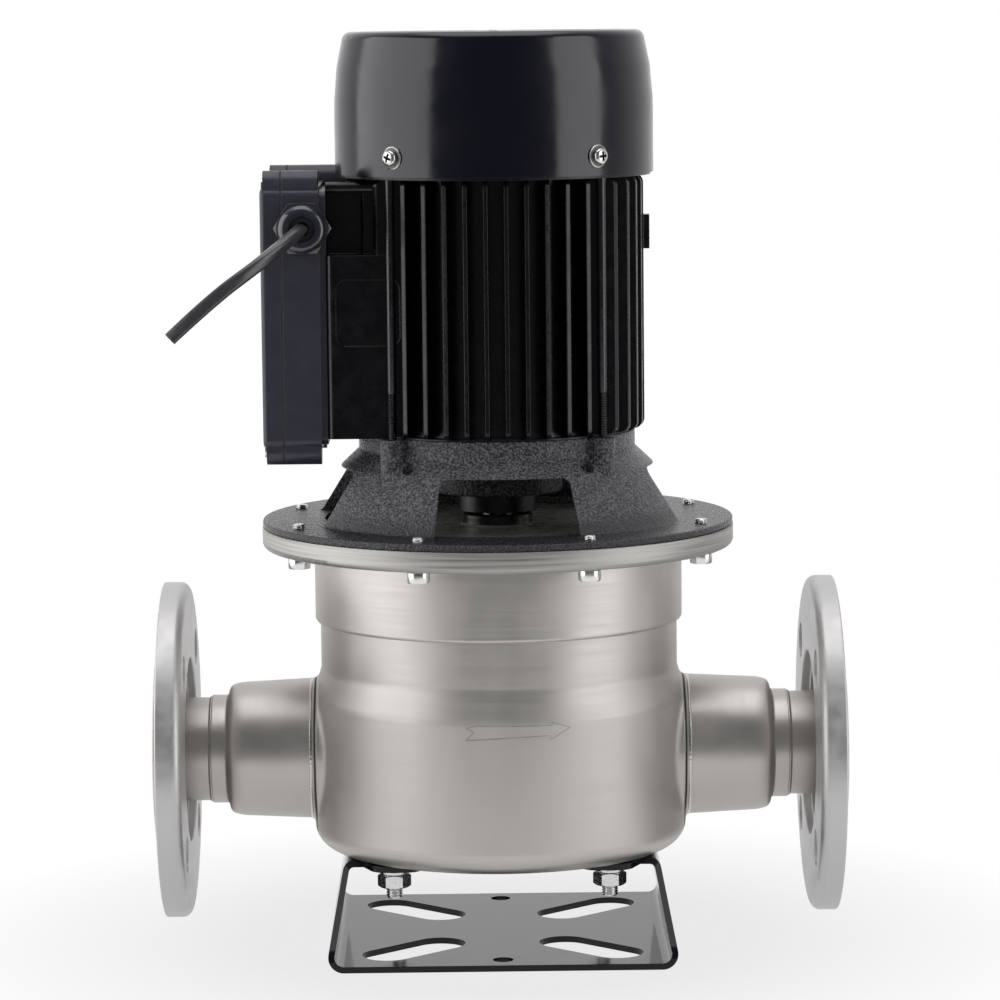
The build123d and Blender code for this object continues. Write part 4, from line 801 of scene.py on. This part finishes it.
def hexagon(flats, height, steps=48):
    """A level hexagon of points round the upright axis."""
    angles = [2 * math.pi * at / steps for at in range(steps)]
    return [polar(hexagon_reach(flats, angle), angle, height) for angle in angles]


lid_rings = [hexagon(LID_SOCKET, LID_HEAD_LOW + LID_SOCKET_DEPTH), hexagon(LID_SOCKET, LID_HEAD_LOW)]
for inset, height in LID_HEAD_EDGE:
    lid_rings.append(circle(LID_HEAD_RADIUS - inset, height))
lid_head = skin(lid_rings)
lid_shank = thread(LID_RADIUS, LID_PITCH, LID_START, LID_END)
lid_places = []
for number in range(360 // LID_STEP):
    swing = Matrix.Rotation(math.radians(LID_FIRST + LID_TURN + LID_STEP * number), 4, "Z")
    twist = Matrix.Rotation(math.radians(LID_TWIST + LID_TWIST_STEP * number), 4, "Z")
    lid_places.append(swing @ Matrix.Translation((LID_CIRCLE, 0, 0)) @ twist)
lid_screws = gathered("lid_cap_screws", [lid_head, lid_shank], lid_places)
settle(lid_screws, screw_steel, "lid_screws")


# The wet parts are stainless: a bend that leads the water up to the eye, a wear ring, and
# the welded impeller, which a key and a nut hold on the pump shaft. Both shafts are turned.
wet_steel = finish("wet_steel", (0.55, 0.545, 0.53), 0.33, 1.0)
emboss(wet_steel, grain(wet_steel, 1.2, detail=4.0), 0.02)
vary_gloss(wet_steel, 12.0, 0.28, 0.42)
for part in ("suction_bend", "wear_ring", "impeller"):
    dress(part, wet_steel)

turned_steel = finish("turned_steel", (0.58, 0.575, 0.56), 0.28, 1.0)
emboss(turned_steel, turned_marks(turned_steel, "Z", (0, 0, 0), MARKS_PER_METRE), 0.012)
vary_gloss(turned_steel, 8.0, 0.22, 0.36)
for part in ("impeller_key", "impeller_nut", "pump_shaft", "motor_shaft"):
    dress(part, turned_steel)


# The shaft seal: a ceramic seat pressed into the cover, and a carbon ring that a coil
# spring pushes against it.
ceramic = finish("seal_ceramic", (0.78, 0.75, 0.68), 0.22)
emboss(ceramic, grain(ceramic, 0.6), 0.006)
vary_colour(ceramic, grain(ceramic, 5.0), (0.74, 0.71, 0.63), (0.82, 0.80, 0.74))
dress("seal_seat", ceramic)
carbon = finish("seal_carbon", (0.030, 0.030, 0.032), 0.36)
emboss(carbon, grain(carbon, 0.3), 0.01)
vary_gloss(carbon, 3.0, 0.30, 0.45)
dress("seal_head", carbon)
spring_wire = finish("spring_wire", (0.60, 0.60, 0.60), 0.25, 1.0)
emboss(spring_wire, grain(spring_wire, 0.5), 0.01)
vary_gloss(spring_wire, 1.5, 0.2, 0.32)
dress("seal_spring", spring_wire)


# The coupling is a slit steel sleeve that clamps both shaft ends with two cap screws.
# It is coloured near black as painted shade, for the dark inside the lantern, and dull.
coupling_shade_dark = finish("coupling_shade_dark_steel", (0.060, 0.060, 0.064), 0.38, 1.0)
round_edges(coupling_shade_dark, 0.3)
emboss(coupling_shade_dark, grain(coupling_shade_dark, 0.5, (0.1, 0.1, 1)), 0.01)
vary_gloss(coupling_shade_dark, 3.0, 0.32, 0.48)
dress("coupling", coupling_shade_dark)
dress("coupling_screws", coupling_shade_dark)


# The lantern is a rough iron casting, painted black without filling, so the sand skin
# shows. It stands on the casing flange and carries the motor and its lower bearing. Its
# flat plate is smoother and darker than the cone.
PLATE_TOP = 0.213
CONE_START = 0.219

cast_paint = finish("cast_paint", (0.014, 0.014, 0.018), 0.30)
round_edges(cast_paint, 1.0)
sand = grain(cast_paint, 1.15, detail=3.0)
emboss(cast_paint, grain(cast_paint, 5.0, detail=1.0), 0.45)
emboss(cast_paint, sand, 1.0)
above_plate = spread(cast_paint, place_along(cast_paint, "Z"), 0.25, 1.0, start=PLATE_TOP, end=CONE_START)
speckle = spread(cast_paint, sand, 0.0, 1.0, start=0.42, end=0.62)
speckle = node(cast_paint, "Math", {0: speckle, 1: above_plate}, operation="MULTIPLY")
vary_colour(cast_paint, speckle, (0.012, 0.012, 0.016), (0.112, 0.112, 0.128))
vary_gloss(cast_paint, 1.6, 0.20, 0.36)
dress("lantern", cast_paint)


# Two ball bearings of one size carry the shaft, one in the lantern and one in the upper
# shield. A wave spring over the upper one takes up the play.
race_steel = finish("race_steel", (0.66, 0.66, 0.66), 0.14, 1.0)
emboss(race_steel, grain(race_steel, 0.5, (0.1, 0.1, 1)), 0.004)
vary_gloss(race_steel, 3.0, 0.10, 0.20)
for place in ("lower", "upper"):
    for part in ("outer", "inner", "balls"):
        dress(f"{place}_bearing_{part}", race_steel)
dress("wave_spring", spring_wire)


# The motor housing is an aluminium casting with straight fins on its four sides and a
# flat pad for the terminal box, powder coated black. The upper shield closes it.
fin_paint = finish("fin_paint", (0.0012, 0.0012, 0.0035), 0.26)
round_edges(fin_paint, 0.7)
emboss(fin_paint, grain(fin_paint, 1.1), 0.03)
vary_gloss(fin_paint, 6.0, 0.22, 0.36)
dress("motor_housing", fin_paint)
dress("upper_shield", fin_paint)


# The stator is a pack of thin steel sheets with varnished copper heads at both ends. The
# rotor is the same sheet with cast aluminium rings, pressed on the shaft.
sheets = finish("stator_sheets", (0.34, 0.34, 0.35), 0.42, 1.0)


def bands(made, scale, distortion, direction):
    """Raised stripes across the surface, as stacked sheets or wound wires make them."""
    where = node(made, "TexCoord", out="Object")
    feeds = {"Vector": where, "Scale": scale, "Distortion": distortion}
    return node(made, "TexWave", feeds, bands_direction=direction)


emboss(sheets, bands(sheets, 314.0, 0.0, "Z"), 0.08)
vary_colour(sheets, grain(sheets, 4.0), (0.28, 0.27, 0.26), (0.42, 0.42, 0.43))
dress("stator_core", sheets)
dress("rotor_core", sheets)
copper = finish("copper_wire", (0.70, 0.27, 0.10), 0.30, 1.0)
emboss(copper, bands(copper, 300.0, 3.0, "DIAGONAL"), 0.25)
vary_colour(copper, grain(copper, 5.0), (0.55, 0.17, 0.06), (0.78, 0.33, 0.14))
dress("stator_windings", copper)
cast_aluminium = finish("cast_aluminium", (0.68, 0.68, 0.69), 0.44, 1.0)
emboss(cast_aluminium, grain(cast_aluminium, 1.5, detail=4.0), 0.06)
vary_gloss(cast_aluminium, 6.0, 0.38, 0.54)
dress("rotor_rings", cast_aluminium)


# Four long tie rods run down the corners of the motor, from the upper shield into the
# lantern. They are dark steel with a hexagon head, threaded at the lower end.
ROD_REACH = 0.071
ROD_RADIUS = 0.0021
ROD_PITCH = 0.0008
ROD_LOW = 0.2365
ROD_THREAD_HIGH = 0.275
ROD_HEAD_LOW = 0.3824
ROD_HEAD_HIGH = 0.3859
ROD_HEAD_EDGE = 0.0006
ROD_FLATS = 0.008
ROD_FACE = 0.47
ROD_NECK = 0.0003
ROD_NECK_RUN = 0.0008
ROD_STEPS = 24
ROD_THREAD_STEPS = 16

dark_rod = finish("dark_rod", (0.075, 0.075, 0.080), 0.28, 1.0)
emboss(dark_rod, grain(dark_rod, 0.6, (0.3, 0.3, 0.05)), 0.01)
vary_gloss(dark_rod, 4.0, 0.22, 0.36)
rod_thread = thread(ROD_RADIUS, ROD_PITCH, ROD_LOW, ROD_THREAD_HIGH, ROD_THREAD_STEPS)
rod_shank = skin(
    [
        circle(ROD_RADIUS - ROD_NECK, ROD_THREAD_HIGH - ROD_NECK_RUN, ROD_STEPS),
        circle(ROD_RADIUS, ROD_THREAD_HIGH, ROD_STEPS),
        circle(ROD_RADIUS, ROD_HEAD_LOW, ROD_STEPS),
    ]
)
rod_head = skin(
    [
        hexagon(ROD_FLATS, ROD_HEAD_LOW),
        hexagon(ROD_FLATS, ROD_HEAD_HIGH - ROD_HEAD_EDGE),
        circle(ROD_FLATS * ROD_FACE, ROD_HEAD_HIGH),
    ]
)
rod_places = []
for number in range(4):
    swing = Matrix.Rotation(math.radians(45 + 90 * number), 4, "Z")
    rod_places.append(swing @ Matrix.Translation((ROD_REACH, 0, 0)))
tie_rods = gathered("tie_rod_bolts", [rod_thread, rod_shank, rod_head], rod_places)
settle(tie_rods, dark_rod, "tie_rods")


# The fan is moulded in black plastic and sits on the end of the shaft, kept by a clip of
# spring steel.
fan_plastic = finish("fan_plastic", (0.020, 0.020, 0.021), 0.45)
round_edges(fan_plastic, 0.4)
emboss(fan_plastic, grain(fan_plastic, 0.4), 0.02)
vary_gloss(fan_plastic, 5.0, 0.38, 0.52)
dress("fan", fan_plastic)
dress("fan_clip", spring_wire)


# The fan cover is deep drawn from steel sheet, with air slots in its crown, and painted
# gloss black. It hides the fan and the upper shield.
cover_paint = finish("cover_paint", (0.0014, 0.0014, 0.0080), 0.20)
round_edges(cover_paint, 0.4)
emboss(cover_paint, grain(cover_paint, 3.5), 0.014)
vary_gloss(cover_paint, 14.0, 0.14, 0.21)
mirror(cover_paint, 0.62)
dress("fan_cover", cover_paint)


# Four pan screws with plain washers hold the fan cover to posts on the upper shield. The
# heads are low domes with a cross recess, painted dark inside as painted shade. The washers
# are painted dark as a painted reflection, with a painted highlight on their rim.
COVER_SCREW_HEIGHT = 0.387
COVER_REACH = 0.0773
COVER_ANGLES = (51.3, 128.7, 231.3, 308.7)
WASHER_INSIDE = 0.0022
COVER_WASHER = 0.0054
COVER_WASHER_SHEET = 0.0008
COVER_WASHER_EDGE = 0.0004
COVER_WASHER_DROP = 0.0003
COVER_WASHER_RIM = 0.0005
PAN_RADIUS = 0.0038
PAN_PROFILE = (
    (0.97, 0.0),
    (1.0, 0.0004),
    (1.0, 0.0018),
    (0.96, 0.0023),
    (0.85, 0.0028),
    (0.62, 0.00315),
    (0.30, 0.0034),
)
PAN_SHANK_RADIUS = 0.002
PAN_SHANK_PITCH = 0.0007
PAN_SHANK_END = -0.008
PAN_SHANK_TOP = 0.0002
PAN_SHANK_STEPS = 16
RECESS_ARM = 0.0027
RECESS_WIDTH = 0.0013
RECESS_THIN = 0.6
RECESS_FLOOR = 0.0012
RECESS_TOP = 0.0040
RECESS_TAPER = 0.45
RECESS_INSIDE = (0.0010, 0.0030)
RECESS_REACH = 0.0028
DOME_FALL = 60
PAN_TWIST = 20
PAN_TWIST_STEP = 25


def carved(body, cutter):
    """The mesh of a body with a cutter's shape taken out of it."""
    keep = show("keep", body)
    tool = show("tool", cutter)
    cut = keep.modifiers.new("cut", "BOOLEAN")
    cut.operation = "DIFFERENCE"
    cut.solver = "EXACT"
    cut.object = tool
    bpy.context.view_layer.update()
    made = bpy.data.meshes.new_from_object(keep.evaluated_get(bpy.context.evaluated_depsgraph_get()))
    bpy.data.objects.remove(keep)
    bpy.data.objects.remove(tool)
    return made


def cross_recess():
    """A cross with sloping ends, which a screwdriver fits."""
    rings = []
    for height, share in ((RECESS_FLOOR, RECESS_TAPER), (RECESS_TOP, 1.0)):
        long = RECESS_ARM * share
        thin = RECESS_WIDTH / 2 * (RECESS_THIN + (1 - RECESS_THIN) * share)
        ring = []
        for quarter in range(4):
            cosine = math.cos(quarter * math.pi / 2)
            sine = math.sin(quarter * math.pi / 2)
            for x, y in ((long, -thin), (long, thin), (thin, thin)):
                ring.append((x * cosine - y * sine, x * sine + y * cosine, height))
        rings.append(ring)
    return skin(rings)


pan_head = skin([circle(PAN_RADIUS * share, height) for share, height in PAN_PROFILE])
pan_head = carved(pan_head, cross_recess())
recess_low, recess_high = RECESS_INSIDE
# Faces deep in the cross recess take the second finish, near black: painted shade.
for face in pan_head.polygons:
    reach = math.hypot(face.center.x, face.center.y)
    under_dome = recess_low < face.center.z < recess_high - DOME_FALL * reach * reach
    if under_dome and reach < RECESS_REACH:
        face.material_index = 1
pan_shank = thread(PAN_SHANK_RADIUS, PAN_SHANK_PITCH, PAN_SHANK_END, PAN_SHANK_TOP, PAN_SHANK_STEPS)
pan_washer = skin(
    [
        circle(WASHER_INSIDE, 0.0),
        circle(COVER_WASHER, 0.0),
        circle(COVER_WASHER, COVER_WASHER_SHEET - COVER_WASHER_DROP),
        circle(COVER_WASHER - COVER_WASHER_EDGE, COVER_WASHER_SHEET),
        circle(WASHER_INSIDE, COVER_WASHER_SHEET),
    ],
    looped=True,
)
# Faces on the washers' outer rim take the second finish, bright zinc: a painted highlight.
for face in pan_washer.polygons:
    if math.hypot(face.center.x, face.center.y) > COVER_WASHER - COVER_WASHER_RIM:
        face.material_index = 1
screw_places = []
washer_places = []
for number, degrees in enumerate(COVER_ANGLES):
    swing = Matrix.Rotation(math.radians(degrees), 4, "Z")
    outward = Matrix.Rotation(math.radians(90), 4, "Y")
    twist = Matrix.Rotation(math.radians(PAN_TWIST + PAN_TWIST_STEP * number), 4, "Z")
    washer_places.append(swing @ Matrix.Translation((COVER_REACH, 0, COVER_SCREW_HEIGHT)) @ outward)
    seat = Matrix.Translation((COVER_REACH + COVER_WASHER_SHEET, 0, COVER_SCREW_HEIGHT))
    screw_places.append(swing @ seat @ outward @ twist)

# The washers' own finish is near black: a painted reflection of the dark surroundings.
washer_painted_dark_reflection = finish("washer_painted_dark_reflection", (0.12, 0.118, 0.115), 0.40, 1.0)
emboss(washer_painted_dark_reflection, grain(washer_painted_dark_reflection, 0.4), 0.012)
vary_gloss(washer_painted_dark_reflection, 1.2, 0.34, 0.48)
cover_washers = gathered("cover_plain_washers", [pan_washer], washer_places)
settle(cover_washers, washer_painted_dark_reflection, "cover_washers")
cover_washers.data.materials.append(zinc)

pan_steel = finish("pan_steel", (0.74, 0.74, 0.73), 0.24, 1.0)
emboss(pan_steel, grain(pan_steel, 0.4), 0.008)
vary_gloss(pan_steel, 1.0, 0.18, 0.28)
# A near-black finish for the recess floor and walls: painted shade.
recess_painted_shade = finish("recess_painted_shade", (0.030, 0.029, 0.028), 0.55, 0.4)
emboss(recess_painted_shade, grain(recess_painted_shade, 0.3), 0.02)
vary_gloss(recess_painted_shade, 0.8, 0.45, 0.65)
cover_screws = gathered("cover_pan_screws", [pan_head, pan_shank], screw_places)
settle(cover_screws, pan_steel, "cover_screws")
cover_screws.data.materials.append(recess_painted_shade)


# The terminal box is moulded in black plastic with a fine satin grain: a base on the
# motor pad, a rubber gasket, and a cover held by four screws in round corner bosses. It
# holds the terminal block and the capacitor.
box_plastic = finish("box_plastic", (0.034, 0.034, 0.050), 0.36)
round_edges(box_plastic, 0.5)
emboss(box_plastic, grain(box_plastic, 0.45), 0.025)
vary_gloss(box_plastic, 7.0, 0.29, 0.40)
dress("box_base", box_plastic)
dress("box_cover", box_plastic)
dress("box_gasket", black_rubber)
dress("box_screws", zinc)

block_plastic = finish("block_plastic", (0.74, 0.73, 0.69), 0.4)
emboss(block_plastic, grain(block_plastic, 0.6), 0.02)
vary_gloss(block_plastic, 4.0, 0.34, 0.48)
dress("terminal_block", block_plastic)
dress("capacitor", fan_plastic)


# The gland is dark plastic: a hexagon body screwed into the box wall, a rubber seal, and
# a domed nut with fine grip ribs that presses the seal round the lead.
GLAND_SEAT = (-0.0917, -0.045, 0.3538)
GLAND_BORE = 0.0045
GLAND_FLATS = 0.024
GLAND_HEX = 0.007
GLAND_HEX_FACE = 0.485
GLAND_HEX_SLOPE = 0.7
GLAND_HEX_STEPS = 96
GLAND_THREAD = 0.008
GLAND_CUP = 0.0067
GLAND_CUP_FLOOR = 0.005
GLAND_TAIL = -0.0045
GLAND_END = 0.012
GLAND_NUT = 0.0114
GLAND_FRONT = 0.0165
GLAND_MOUTH = 0.0056
GLAND_NUT_STEPS = 180
GRIP_RIB = 0.00018
GRIP_RIBS = 36

gland_plastic = finish("gland_plastic", (0.020, 0.021, 0.030), 0.16)
round_edges(gland_plastic, 0.3)
emboss(gland_plastic, grain(gland_plastic, 0.8), 0.01)
vary_gloss(gland_plastic, 4.0, 0.12, 0.22)
mirror(gland_plastic, 0.95)
gland_stand = Matrix.Translation(GLAND_SEAT) @ Matrix.Rotation(math.radians(90), 4, "X")

turned_corners = []
for at in range(GLAND_HEX_STEPS):
    angle = 2 * math.pi * at / GLAND_HEX_STEPS
    reach = hexagon_reach(GLAND_FLATS, angle)
    drop = (reach - GLAND_FLATS / 2) * GLAND_HEX_SLOPE
    turned_corners.append(polar(reach, angle, GLAND_HEX - drop))
gland_hex = skin(
    [
        circle(GLAND_BORE, 0.0, GLAND_HEX_STEPS),
        hexagon(GLAND_FLATS, 0.0, GLAND_HEX_STEPS),
        turned_corners,
        circle(GLAND_FLATS * GLAND_HEX_FACE, GLAND_HEX, GLAND_HEX_STEPS),
        circle(GLAND_BORE, GLAND_HEX, GLAND_HEX_STEPS),
    ],
    looped=True,
)
gland_tail = skin(
    [
        circle(GLAND_BORE, GLAND_TAIL),
        circle(GLAND_THREAD, GLAND_TAIL),
        circle(GLAND_THREAD, GLAND_END),
        circle(GLAND_CUP, GLAND_END),
        circle(GLAND_CUP, GLAND_CUP_FLOOR),
        circle(GLAND_BORE, GLAND_CUP_FLOOR),
    ],
    looped=True,
)
gland_body = gathered("gland_hex_body", [gland_hex, gland_tail], [gland_stand])
settle(gland_body, gland_plastic, "gland_body")
dress("gland_seal", black_rubber)

nut_profile = (
    (GLAND_THREAD, 0.0072, 0),
    (GLAND_NUT - 0.0006, 0.0072, 0),
    (GLAND_NUT - 0.0002, 0.0075, GRIP_RIB),
    (GLAND_NUT - 0.0002, 0.0098, GRIP_RIB),
    (GLAND_NUT - 0.0006, 0.0102, 0),
    (GLAND_NUT, 0.0106, 0),
    (GLAND_NUT, 0.0130, 0),
    (GLAND_NUT - 0.0004, 0.0146, 0),
    (GLAND_NUT - 0.0014, 0.0158, 0),
    (GLAND_NUT - 0.0026, GLAND_FRONT - 0.0001, 0),
    (GLAND_MOUTH + 0.0022, GLAND_FRONT, 0),
    (GLAND_MOUTH + 0.0008, GLAND_FRONT - 0.0008, 0),
    (GLAND_MOUTH, GLAND_FRONT - 0.0020, 0),
    (GLAND_MOUTH - 0.0001, 0.0133, 0),
    (0.0068, 0.0132, 0),
    (GLAND_THREAD, 0.0122, 0),
)
nut_rings = []
for reach, height, rib in nut_profile:
    ring = []
    for at in range(GLAND_NUT_STEPS):
        angle = math.radians(at * 360 / GLAND_NUT_STEPS)
        ring.append(polar(reach + rib * math.cos(GRIP_RIBS * angle), angle, height))
    nut_rings.append(ring)
gland_nut = gathered("gland_domed_nut", [skin(nut_rings, looped=True)], [gland_stand])
settle(gland_nut, gland_plastic, "gland_nut")
